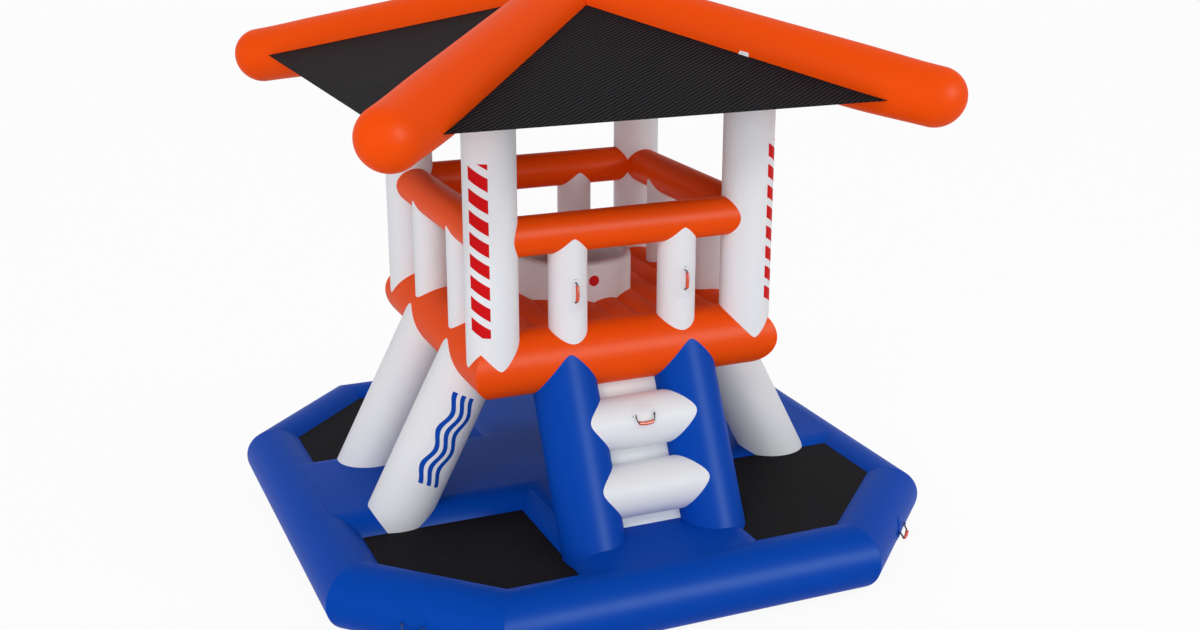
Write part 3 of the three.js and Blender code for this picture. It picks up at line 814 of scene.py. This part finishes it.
class MakeLeaningTubes(bpy.types.Operator):
    """Builds the ladder's two stringers and the four legs"""

    bl_idname = "tower.leaning_tubes"
    bl_label = "Legs and stringers"

    def execute(self, context):
        sizes = context.scene.tower_sizes
        top, down, _ = lean_axis(sizes)
        start = top.copy()
        start.x = sizes.arm_half
        uncut = 2.2
        past_foot = start + down * uncut
        model = tube("leaning_tube", start, past_foot, sizes.lean_radius)
        slice_off(model, (0, 0, sizes.foot_bottom), (0, 0, -1))
        drop_crumbs(shape_with(model, tools["deck"] + [tools["platform"]]))
        mirror = copied(model, "leaning_tube_mirrored")
        mirror.scale.x = -1
        settle(mirror)
        open_mesh(mirror)
        face_out()
        close_mesh()
        rows = (
            (0, "ladder_stringer_right", "ladder_stringer_left", "blue_waves", "blue"),
            (1, "leg_right_rear", "leg_right_front", "white_waves_rear", "white"),
            (3, "leg_left_front", "leg_left_rear", "white_waves", "white"))
        tools["leaning"] = []
        for quarter, marked, plain, marked_fabric, plain_fabric in rows:
            tools["leaning"] += [
                stand_in(model, marked, quarter, marked_fabric),
                stand_in(mirror, plain, quarter, plain_fabric)]
        tools["stringers"] = tools["leaning"][:2]
        put_away([model, mirror])
        return {"FINISHED"}


class MakeDeckRing(bpy.types.Operator):
    """Builds the four mitred tubes round the deck"""

    bl_idname = "tower.deck_ring"
    bl_label = "Deck ring"

    def execute(self, context):
        sizes = context.scene.tower_sizes
        corners = square_corners(sizes.deck_reach, sizes.deck_height)
        model, = ring_tubes("deck", corners, sizes.deck_radius, (0,))
        tools["deck"] = [
            stand_in(model, f"deck_tube_{side}", i, "orange") for i, side in enumerate(SIDES)]
        put_away([model])
        return {"FINISHED"}


class MakePostsAndRails(bpy.types.Operator):
    """Builds the corner posts, the rails and the small pillars on the four sides"""

    bl_idname = "tower.posts_and_rails"
    bl_label = "Posts, rails and pillars"

    def execute(self, context):
        sizes = context.scene.tower_sizes
        reach, low = sizes.post_reach, sizes.deck_height
        top = hip_axis_height(sizes, reach)
        post = tube("post", (reach, -reach, low), (reach, -reach, top), sizes.post_radius)
        drop_crumbs(shape_with(post, tools["deck"][:2] + tools["roof"]))
        corners = square_corners(reach, sizes.rail_height)
        rail, = ring_tubes("rail", corners, sizes.rail_radius, (0,))
        slice_off(rail, corners[0], (-1, 0, 0))
        slice_off(rail, corners[1], (1, 0, 0))
        fat = [tube(f"fat_{i}", (x, -reach, low), (x, -reach, top), sizes.post_radius)
               for i, x in enumerate((-reach, reach))]
        shape_with(rail, fat)
        put_away(fat)
        long_rail = tube("long_rail", corners[0], corners[1], sizes.rail_radius)
        pillars = []
        for side in (-1, 1):
            x = side * sizes.pillar_offset
            pillar = tube(
                "pillar", (x, -reach, low), (x, -reach, sizes.rail_height), sizes.pillar_radius)
            shape_with(pillar, [tools["deck"][0], long_rail])
            pillars.append(pillar)
        put_away([long_rail])
        tools["pillars"] = []
        for i, (side, corner) in enumerate(zip(SIDES, CORNERS)):
            stand_in(post, f"corner_post_{corner}", i, f"white_bars_{corner}")
            stand_in(rail, f"rail_{side}", i, "orange")
            for pillar, towards in zip(pillars, (SIDES[i - 1], SIDES[(i + 1) % 4])):
                tools["pillars"].append(
                    stand_in(pillar, f"rail_pillar_{side}_{towards}", i, "white"))
        put_away([post, rail, *pillars])
        return {"FINISHED"}


class MakeRoofTubes(bpy.types.Operator):
    """Builds the four roof tubes with their domed ends"""

    bl_idname = "tower.roof_tubes"
    bl_label = "Roof tubes"

    def execute(self, context):
        sizes = context.scene.tower_sizes
        reach = sizes.hip_end_reach
        drop = sizes.hip_top - sizes.hip_end_height
        run = Vector((reach, reach, -drop))
        radius, end = sizes.hip_radius, sizes.hip_end_radius
        shoulder = run.length - sizes.hip_shoulder
        pairs = [(radius, -radius), (radius, shoulder)]
        for i in range(1, DOME_STEPS + 1):
            t = i / DOME_STEPS
            ease = t * t * (3 - 2 * t)
            pairs.append((radius + (end - radius) * ease, shoulder + sizes.hip_shoulder * t))
        for i in range(1, DOME_STEPS + 1):
            turn = i / DOME_STEPS * QUARTER
            pairs.append((max(end * math.cos(turn), DOME_TIP), run.length + end * math.sin(turn)))
        model = pulled("roof_tube", pairs, TUBE_SIDES)
        lean = run.to_track_quat("Z", "Y").to_matrix().to_4x4()
        raised = lean.inverted() @ Vector((0, 0, 1))
        raised.z = 0
        for vertex in model.data.vertices:
            t = max(0.0, (vertex.co.z - shoulder) / sizes.hip_shoulder)
            vertex.co += raised.normalized() * sizes.hip_rise * t * t
        placed(model, Matrix.Translation((0, 0, sizes.hip_top)) @ lean)
        slice_off(model, (0, 0, 0), (-1, 0, 0))
        slice_off(model, (0, 0, 0), (0, -1, 0))
        tools["roof"] = [
            stand_in(model, f"roof_tube_{corner}", i, "orange")
            for i, corner in enumerate(CORNERS[1:] + CORNERS[:1])]
        put_away([model])
        return {"FINISHED"}


class MakeDeckFloor(bpy.types.Operator):
    """Builds the ribbed floor inside the deck ring"""

    bl_idname = "tower.deck_floor"
    bl_label = "Deck floor"

    def execute(self, context):
        sizes = context.scene.tower_sizes
        radius, spacing, reach = sizes.rib_radius, sizes.rib_spacing, sizes.deck_reach
        count = 8
        first = -(count - 1) / 2 * spacing
        height = sizes.rib_crest - radius
        rib = tube("deck_floor_skin", (first, -reach, height), (first, reach, height), radius)
        slice_off(rib, (first - spacing / 2, 0, 0), (-1, 0, 0))
        slice_off(rib, (first + spacing / 2, 0, 0), (1, 0, 0))
        changed(rib, "ARRAY", count=count, use_relative_offset=False, use_constant_offset=True,
                constant_offset_displace=(spacing, 0, 0))
        self.join_ribs(rib)
        slice_off(rib, (0, 0, sizes.floor_bottom), (0, 0, -1))
        tools["floor"] = rib
        shape_with(rib, tools["deck"])
        drop_crumbs(shape_with(rib, tools["pillars"]))
        lay_cloth(rib)
        clothed(rib, "orange", "deck_floor")
        return {"FINISHED"}

    @staticmethod
    def join_ribs(rib):
        """Takes out the walls between the ribs and welds them into one shell."""
        rim = 0.001
        lowest = min(vertex.co.x for vertex in rib.data.vertices) + rim
        highest = max(vertex.co.x for vertex in rib.data.vertices) - rim
        pick(rib, lambda face: abs(face.normal.x) > 0.999 and lowest < face.center.x < highest,
             "FACE")
        bpy.ops.mesh.delete(type="ONLY_FACE")
        bpy.ops.mesh.select_mode(type="VERT")
        bpy.ops.mesh.select_all(action="SELECT")
        bpy.ops.mesh.remove_doubles(threshold=RIB_WELD)
        close_mesh()


class MakeSeat(bpy.types.Operator):
    """Builds the round seat wall that stands on the deck floor"""

    bl_idname = "tower.seat"
    bl_label = "Seat wall"

    def execute(self, context):
        sizes = context.scene.tower_sizes
        bottom = sizes.rib_crest - SEAT_SUNK
        tall = sizes.seat_top - bottom
        middle = sizes.seat_radius - sizes.seat_wall / 2
        clear_selection()
        bpy.ops.mesh.primitive_plane_add(
            size=1, location=(middle, 0, bottom + tall / 2), rotation=(QUARTER, 0, 0))
        seat = bpy.context.object
        seat.scale = (sizes.seat_wall, tall, 1)
        settle(seat, "seat_ring_skin")
        pick(seat, lambda vertex: vertex.co.z > sizes.seat_top - 0.001)
        bpy.ops.mesh.bevel(offset=sizes.seat_edge, segments=8, affect="VERTICES")
        bpy.ops.mesh.select_all(action="SELECT")
        bpy.ops.mesh.delete(type="ONLY_FACE")
        bpy.ops.mesh.select_all(action="SELECT")
        bpy.ops.mesh.spin(
            steps=TUBE_SIDES, angle=2 * math.pi, center=(0, 0, 0), axis=(0, 0, 1),
            use_auto_merge=False)
        bpy.ops.mesh.select_all(action="SELECT")
        bpy.ops.mesh.remove_doubles(threshold=SEAT_WELD)
        face_out()
        close_mesh()
        shape_with(seat, [tools["floor"]])
        lay_cloth(seat)
        clothed(seat, "white_disc", "seat_ring")
        return {"FINISHED"}


class MakeLadder(bpy.types.Operator):
    """Builds the ladder's board and its two bolster steps"""

    bl_idname = "tower.ladder"
    bl_label = "Ladder board and steps"

    def execute(self, context):
        sizes = context.scene.tower_sizes
        top, down, out = lean_axis(sizes)
        lean = Matrix((Vector((1, 0, 0)), -out, -down)).transposed().to_4x4()
        thickness, face = sizes.board_thickness, -sizes.board_set_back
        uncut = 1.5
        board = block("ladder_panel_skin", (2 * sizes.arm_half, thickness, uncut),
                      (0, thickness / 2 - face, -uncut / 2))
        placed(board, Matrix.Translation(top) @ lean)
        drop_crumbs(shape_with(
            board, [*tools["stringers"], tools["deck"][0], tools["platform"]]))
        lay_cloth(board)
        clothed(board, "white", "ladder_panel")

        middle = top + down * sizes.first_step + out * sizes.step_proud
        side = Vector((sizes.arm_half, 0, 0))
        model = tube("step", middle - side, middle + side, sizes.step_radius)
        slice_off(model, top + out * face, -out)
        shape_with(model, tools["stringers"])
        lower = copied(model, "ladder_step_lower_skin")
        lower.location = down * sizes.step_spacing
        settle(lower)
        model.name = "ladder_step_upper_skin"
        clothed(lower, "white", "ladder_step_lower")
        clothed(model, "white", "ladder_step_upper")
        return {"FINISHED"}


class MakeNets(bpy.types.Operator):
    """Stretches the roof nets and the floor nets"""

    bl_idname = "tower.nets"
    bl_label = "Nets"

    def execute(self, context):
        sizes, nets = context.scene.tower_sizes, context.scene.net_sizes
        self.floor_nets(sizes, nets)
        self.roof_nets(nets)
        return {"FINISHED"}

    @staticmethod
    def sheet_from(name, corners, thickness, up):
        """A flat sheet over an outline, its top on the outline's plane."""
        sheet = flat_face(name, corners)
        open_mesh(sheet)
        face_out()
        extrude(*(-thickness * Vector(up)))
        face_out()
        close_mesh()
        return sheet

    def floor_nets(self, sizes, nets):
        rows = (("front_left", -1, -1, nets.front_left), ("front_right", 1, -1, nets.front_right),
                ("rear_left", -1, 1, nets.rear), ("rear_right", 1, 1, nets.rear))
        far, near = sizes.base_reach, sizes.base_corner
        for name, x, y, height in rows:
            flat = [(0, 0), (x * far, 0), (x * far, y * near), (x * near, y * far), (0, y * far)]
            corners = [Vector((u, v, height)) for u, v in flat]
            net = self.sheet_from(f"floor_net_{name}_mesh", corners, nets.thickness, (0, 0, 1))
            drop_crumbs(shape_with(
                net, [tools["whole_platform"], *tools["base"], *tools["leaning"]]))
            lay_cloth(net)
            finished(net, "floor_net", stands_for=[f"floor_net_{name}"])
        put_away([tools.pop("whole_platform")])

    def roof_nets(self, nets):
        pairs = ((nets.roof_eave, nets.roof_reach, (0, 2)),
                 (nets.side_eave, nets.side_reach, (3, 1)))
        for eave, reach, quarters in pairs:
            up = Vector((0, eave - nets.roof_middle, reach)).normalized()
            lift = up * nets.thickness / 2
            corners = [Vector((0, 0, nets.roof_middle)), Vector((-reach, -reach, eave)),
                       Vector((reach, -reach, eave))]
            net = self.sheet_from("roof_net", [c + lift for c in corners], nets.thickness, up)
            drop_crumbs(shape_with(net, tools["roof"]))
            lay_cloth(net)
            for quarter in quarters:
                side, held_by = SIDES[quarter], (CORNERS[quarter - 1], CORNERS[quarter])
                piece = copied(net, f"roof_net_{side}_mesh", quarter * QUARTER)
                finished(piece, "roof_net", stands_for=[f"roof_net_{side}"])
            put_away([net])


def tube_frame(origin, along, outward):
    """A frame with x along a tube and z straight out of it, from a point on its axis."""
    along, outward = Vector(along).normalized(), Vector(outward).normalized()
    turn = Matrix((along, outward.cross(along), outward)).transposed().to_4x4()
    return Matrix.Translation(origin) @ turn


def handle_places(sizes, handles):
    """Name, body, frame, tube radius, reach, hang and patch of each handle."""
    top, down, out = lean_axis(sizes)
    step = top + down * sizes.first_step + out * sizes.step_proud
    tilt = handles.step_tilt
    places = [(
        "step", "step_handle", tube_frame(step, (1, 0, 0), (0, -math.cos(tilt), math.sin(tilt))),
        sizes.step_radius, handles.hanging_reach, handles.hanging + tilt, "white")]
    middle = (sizes.base_reach + sizes.base_corner) / 2
    for name, side in (("left", -1), ("right", 1)):
        foot = (side * sizes.pillar_offset, -sizes.post_reach, handles.pillar_height)
        places.append((
            f"pillar_{name}", f"pillar_handle_{name}", tube_frame(foot, (0, 0, 1), (0, -1, 0)),
            sizes.pillar_radius, handles.pillar_reach, 0.0, "white"))
        outward = Vector((side, -1, 0)).normalized() * math.cos(handles.base_tilt)
        outward.z = math.sin(handles.base_tilt)
        places.append((
            f"base_{name}", f"base_handle_{name}",
            tube_frame((side * middle, -middle, sizes.base_radius), (1, side, 0), outward),
            sizes.base_radius, handles.hanging_reach, handles.hanging + handles.base_tilt, "blue"))
    return places


def ribbon(name, path, width, thickness):
    """Webbing of even width along a path of x and z, its width along y."""
    clear_selection()
    bpy.ops.mesh.primitive_plane_add(size=1)
    band = bpy.context.object
    (x0, z0), (x1, z1) = path[:2]
    for vertex in band.data.vertices:
        x, z = (x0, z0) if vertex.co.x < 0 else (x1, z1)
        vertex.co = (x, vertex.co.y * width, z)
    settle(band, name)
    pick(band, lambda vertex: abs(vertex.co.x - x1) < 1e-6 and abs(vertex.co.z - z1) < 1e-6)
    for (x, z), (next_x, next_z) in zip(path[1:], path[2:]):
        extrude(next_x - x, 0, next_z - z)
    close_mesh()
    changed(band, "SOLIDIFY", thickness=thickness, offset=0, use_even_offset=True)
    soften(band, thickness * 0.3, 2)
    open_mesh(band)
    face_out()
    close_mesh()
    lay_cloth(band)
    return band


def welded_patch(name, outline, corner, radius, low, high):
    """A thin pad with a soft edge that follows the roundness of a tube."""
    pad = flat_face(name, [(x, y, radius + high) for x, y in outline])
    open_mesh(pad)
    if corner:
        bpy.ops.mesh.bevel(offset=corner, segments=5, affect="VERTICES")
    widest = max(abs(y) for _, y in outline)
    rows = math.ceil(widest / PATCH_ROW)
    for row in range(1, rows):
        bpy.ops.mesh.select_all(action="SELECT")
        bpy.ops.mesh.bisect(
            plane_co=(0, widest * (2 * row / rows - 1), 0), plane_no=(0, 1, 0))
    face_out()
    extrude(0, 0, low - high)
    face_out()
    close_mesh()
    soften(pad, (high - low) * 0.35, 2, 60)
    for vertex in pad.data.vertices:
        turn = vertex.co.y / radius
        reach = vertex.co.z
        vertex.co.y = reach * math.sin(turn)
        vertex.co.z = reach * math.cos(turn)
    lay_cloth(pad)
    return pad


def round_outline(radius, points=64):
    turns = [2 * math.pi * i / points for i in range(points)]
    return [(radius * math.cos(turn), radius * math.sin(turn)) for turn in turns]


def long_outline(half_length, half_width):
    """A rectangle with its four corners cut off."""
    cut = half_width * 0.4
    quarter = [(half_length, half_width - cut), (half_length - cut, half_width)]
    upper = quarter + [(-x, y) for x, y in reversed(quarter)]
    return upper + [(-x, -y) for x, y in upper]


class MakePatches(bpy.types.Operator):
    """Welds the two-layer patches and the keeper loops under the handles"""

    bl_idname = "tower.patches"
    bl_label = "Handle patches"

    def execute(self, context):
        handles = context.scene.handle_sizes
        for name, _, frame_here, radius, _, _, tone in handle_places(
                context.scene.tower_sizes, handles):
            for layer, model in enumerate(self.layers(handles, name, radius)):
                placed(model, frame_here)
                model.name = f"{name}_patch_{('lower', 'upper')[layer]}"
                clothed(model, tone)
            for end in (-1, 1):
                loop = self.keeper(handles, radius, end)
                placed(loop, frame_here)
                loop.name = f"{name}_keeper_{'left' if end < 0 else 'right'}"
                clothed(loop, tone)
        self.post_tab(context.scene.tower_sizes, handles)
        return {"FINISHED"}

    @staticmethod
    def post_tab(sizes, handles):
        """The tip of the front right post, welded to the roof tube above the front net."""
        end = Vector((sizes.hip_end_reach, -sizes.hip_end_reach, sizes.hip_end_height))
        top = Vector((0, 0, sizes.hip_top))
        origin = top.lerp(end, (sizes.post_reach + TAB_OUT) / sizes.hip_end_reach)
        outline = [(-0.048, -0.066), (0.048, -0.066), (0.034, -0.008), (-0.034, -0.008)]
        tab = welded_patch("post_tab_front_right", outline, TAB_CORNER, sizes.hip_radius,
                           -PATCH_SINK, 2 * handles.patch_layer)
        placed(tab, tube_frame(origin, end - top, (-1, -1, 0)))
        clothed(tab, "white")

    @staticmethod
    def layers(handles, name, radius):
        """The lower and the upper patch under a handle, long on pillars and round elsewhere."""
        rim, layer = handles.patch_rim, handles.patch_layer
        made = []
        for step in (0, 1):
            if name.startswith("pillar"):
                outline = long_outline(
                    handles.long_patch - step * rim, handles.long_patch_width - step * rim)
                corner = PATCH_CORNER
            else:
                outline = round_outline(handles.round_patch - step * rim)
                corner = 0
            low = -PATCH_SINK if step == 0 else layer - LAYER_SINK
            made.append(welded_patch(
                f"layer_{step}", outline, corner, radius, low, (step + 1) * layer))
        return made

    @staticmethod
    def keeper(handles, radius, end):
        """A band that arches over the rolled webbing, its two feet on the patch."""
        seat = radius + 2 * handles.patch_layer
        lift, wall = handles.barrel_lift, KEEPER_WALL
        arch = handles.barrel_radius + KEEPER_PLAY + wall / 2
        top = [(-arch * math.cos(math.pi * i / 10), lift + arch * math.sin(math.pi * i / 10))
               for i in range(11)]
        feet = [(0.022, wall * 0.4), (0.015, wall * 0.45), (0.0105, wall * 0.7), (0.0088, 0.0045)]
        left = [(-y, z - y * y / (2 * seat)) for y, z in feet]
        right = [(y, z - y * y / (2 * seat)) for y, z in reversed(feet)]
        loop = ribbon("keeper", left + top + right, handles.keeper_length, wall)
        turned = Matrix.Rotation(QUARTER, 4, "Z")
        return placed(loop, Matrix.Translation((end * handles.keeper_middle, 0, seat)) @ turned)


class MakeHandles(bpy.types.Operator):
    """Builds the five grab handles, each a grip on a webbing loop"""

    bl_idname = "tower.handles"
    bl_label = "Grab handles"

    def execute(self, context):
        handles = context.scene.handle_sizes
        for name, body, frame_here, radius, reach, hang, _ in handle_places(
                context.scene.tower_sizes, handles):
            lift = radius + 2 * handles.patch_layer + handles.barrel_lift
            hinge = frame_here @ Matrix.Translation((0, 0, lift)) @ Matrix.Rotation(hang, 4, "X")
            grip = placed(self.grip(handles, reach), hinge)
            grip.name = f"{name}_handle_grip"
            finished(grip, "grip", body, [f"handle_{name}"])
            webbing = placed(self.webbing(handles, reach), hinge)
            webbing.name = f"{name}_handle_webbing"
            finished(webbing, "webbing", body)
        return {"FINISHED"}

    @staticmethod
    def grip(handles, reach):
        """A rubber sleeve with rounded ends, a little bowed away from its hinge."""
        half, radius = handles.grip_length / 2, handles.grip_radius
        end = [(0.62, 0.0), (0.86, 0.004), (0.97, 0.025), (1.0, 0.07), (0.99, 0.11), (0.93, 0.16),
               (0.90, 0.3), (0.92, 0.6), (0.95, 1.0)]
        pairs = [(radius * wide, -half + half * along) for wide, along in end]
        pairs += [(radius * wide, half - half * along) for wide, along in reversed(end[:-1])]
        sleeve = pulled("grip", pairs)
        placed(sleeve, Matrix.Translation((0, 0, reach)) @ Matrix.Rotation(QUARTER, 4, "Y"))
        for vertex in sleeve.data.vertices:
            vertex.co.z += GRIP_BOW * (1 - (vertex.co.x / half) ** 2) - GRIP_DROP
        return sleeve

    @staticmethod
    def webbing(handles, reach):
        """Rolled ends in the keepers, and straps that bend into the grip's ends."""
        foot = [(0.0768, 0.0), (0.0752, 0.3), (0.0722, 0.6), (0.0676, 0.84), (0.0618, 0.97),
                (0.0545, 1.0)]
        parts = []
        for end in (-1, 1):
            path = [(end * x, reach * z) for x, z in foot]
            strap = ribbon("strap", path, handles.strap_width, handles.strap_thickness)
            roll = tube("roll", (end * ROLL_FROM, 0, 0), (end * ROLL_TO, 0, 0),
                        handles.barrel_radius, ROD_SIDES)
            soften(roll, ROLL_EDGE)
            lay_cloth(roll)
            shape_with(strap, [roll], "UNION")
            put_away([roll])
            parts.append(strap)
        return joined(parts, "webbing")


class MakeValve(bpy.types.Operator):
    """Finishes the inflation valve on the rear tube"""

    bl_idname = "tower.valve"
    bl_label = "Inflation valve"

    def execute(self, context):
        sizes = context.scene.tower_sizes
        place = tube_frame((0, sizes.base_reach, sizes.base_radius), (-1, 0, 0), (0, 1, 1))
        clear_selection()
        bpy.ops.mesh.primitive_cylinder_add(
            vertices=64, radius=VALVE_HOLE, depth=VALVE_HOLE_DEPTH,
            location=(0, 0, sizes.base_radius))
        pocket = placed(bpy.context.object, place)
        shape_with(bpy.data.objects["base_tube_rear_skin"], [pocket])
        patch = welded_patch("valve_patch", round_outline(VALVE_PATCH), 0, sizes.base_radius,
                             -PATCH_SINK, context.scene.handle_sizes.patch_layer)
        placed(patch, place)
        shape_with(patch, [pocket])
        clothed(patch, "blue")
        put_away([pocket])
        rows = (("valve_body", "valve"), ("valve_cap", "valve"), ("valve_poppet", "stem"))
        for node, paint in rows:
            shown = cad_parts[node]
            shown.data.materials.clear()
            shown.data.materials.append(materials[paint])
        return {"FINISHED"}


PICTURE_WIDTH, SENSOR_WIDTH = 1200, 36
CAMERA_PLACE, CAMERA_FOCUS = (-4.473, -11.172, 5.5086), 1516.64
CAMERA_YAW, CAMERA_PITCH, CAMERA_ROLL = 0.4006, 0.307, 0.0006
LAMP_AIM = (0, 0, 1.8)
# Name, place, size across and power of the two lamps
LAMPS = (
    ("Key light", (-7.4, -8.2, 9.2), 2.2, 207),
    ("Second light", (10.4, -6.5, 7.0), 2.0, 200))
# Name, place, strength and angle of the suns
SUNS = (
    ("Front fill", (-4.6, -12.0, 2.6), 0.9, 35),
    ("Left fill", (-12.0, -3.0, 3.0), 0.35, 35),
    ("Top fill", (2.0, 7.0, 14.0), 0.3, 35),
    ("Sheen light", (5.5, -12.0, 6.6), 11.5, 28))


class MakeStage(bpy.types.Operator):
    """Sets up the camera, the soft lights and the pale floor"""

    bl_idname = "tower.stage"
    bl_label = "Camera, lights and floor"

    def execute(self, context):
        scene = context.scene
        level = math.cos(CAMERA_PITCH)
        forward = Vector((
            math.sin(CAMERA_YAW) * level, math.cos(CAMERA_YAW) * level, -math.sin(CAMERA_PITCH)))
        turn = forward.to_track_quat("-Z", "Y").to_matrix() @ Matrix.Rotation(CAMERA_ROLL, 3, "Z")
        clear_selection()
        bpy.ops.object.camera_add(location=CAMERA_PLACE, rotation=turn.to_euler())
        camera = bpy.context.object
        camera.data.sensor_width = SENSOR_WIDTH
        camera.data.lens = SENSOR_WIDTH * CAMERA_FOCUS / PICTURE_WIDTH
        scene.camera = camera
        scene.view_settings.view_transform = "Standard"
        for name, place, size, power in LAMPS:
            lamp = self.lamp(name, "AREA", place)
            lamp.shape, lamp.size, lamp.energy = "DISK", size, power
        for name, place, strength, degrees in SUNS:
            lamp = self.lamp(name, "SUN", place)
            lamp.angle, lamp.energy = math.radians(degrees), strength
        # The last sun shows in reflections only: the satin streaks along the tubes
        lamp.color = (0.74, 1.0, 0.92)
        context.object.visible_diffuse = False
        self.paint_world(scene)
        self.lay_floor(scene)
        return {"FINISHED"}

    @staticmethod
    def lamp(name, kind, place):
        """A lamp that looks at the deck."""
        direction = Vector(LAMP_AIM) - Vector(place)
        clear_selection()
        bpy.ops.object.light_add(
            type=kind, location=place, rotation=direction.to_track_quat("-Z", "Y").to_euler())
        bpy.context.object.name = name
        return bpy.context.object.data

    @staticmethod
    def paint_world(scene):
        """A soft glow from all sides that the camera sees as plain white."""
        scene.world = bpy.data.worlds.new("Studio")
        bench = Bench(scene.world)
        glow = bench.node("ShaderNodeBackground", {"Color": (0.98, 0.985, 1, 1), "Strength": 0.58})
        backdrop = bench.node("ShaderNodeBackground", {"Color": (1, 1, 1, 1), "Strength": 1.0})
        mixed = bench.node("ShaderNodeMixShader", (bench.backdrop_rays(), glow, backdrop))
        bench.node("ShaderNodeOutputWorld", {"Surface": mixed})

    @staticmethod
    def lay_floor(scene):
        """A pale floor that takes faint shadows and nearly melts into the background."""
        clear_selection()
        bpy.ops.mesh.primitive_grid_add(x_subdivisions=4, y_subdivisions=4, size=160)
        floor = bpy.context.object
        floor.name = "studio_floor"
        tone = tuple(scene.tower_colours.floor)
        bench = fresh_bench("Pale studio floor")
        drift = bench.noise(bench.place(), 0.4)
        base = bench.blend(drift, shade(tone, 0.985), tone)
        lit = bench.node("ShaderNodeBsdfDiffuse", {"Color": base})
        glow = bench.node("ShaderNodeEmission", {"Color": (1, 1, 1, 1), "Strength": 1.0})
        mixed = bench.node("ShaderNodeMixShader", (bench.backdrop_rays() * 0.93, lit, glow))
        bench.node("ShaderNodeOutputMaterial", {"Surface": mixed})
        floor.data.materials.append(bench.owner)


class TowerPanel(bpy.types.Panel):
    """Lists the tower's makers and sizes in the sidebar"""

    bl_idname = "VIEW3D_PT_tower"
    bl_label = "Lifeguard tower"
    bl_space_type = "VIEW_3D"
    bl_region_type = "UI"
    bl_category = "Tower"

    def draw(self, context):
        layout = self.layout
        for maker in MAKERS:
            layout.operator(maker.bl_idname)
        for group in GROUPS:
            values = getattr(context.scene, group)
            box = layout.box()
            for key in values.__annotations__:
                box.prop(values, key)


MAKERS = (
    MixMaterials, MakeStage, MakeBaseRing, MakePlatform, MakeDeckRing, MakeRoofTubes,
    MakeLeaningTubes, MakePostsAndRails, MakeDeckFloor, MakeSeat, MakeLadder, MakeNets,
    MakePatches, MakeHandles, MakeValve)
GROUPS = {
    "tower_sizes": TowerSizes, "net_sizes": NetSizes, "handle_sizes": HandleSizes,
    "tower_colours": TowerColours}


def register():
    for group in GROUPS.values():
        bpy.utils.register_class(group)
    for name, group in GROUPS.items():
        setattr(bpy.types.Scene, name, bpy.props.PointerProperty(type=group))
    for maker in MAKERS:
        bpy.utils.register_class(maker)
    bpy.utils.register_class(TowerPanel)


def unregister():
    bpy.utils.unregister_class(TowerPanel)
    for maker in reversed(MAKERS):
        bpy.utils.unregister_class(maker)
    for name, group in GROUPS.items():
        delattr(bpy.types.Scene, name)
        bpy.utils.unregister_class(group)


def main():
    register()
    for maker in MAKERS:
        family, call = maker.bl_idname.split(".")
        getattr(getattr(bpy.ops, family), call)()


if __name__ == "__main__":
    main()
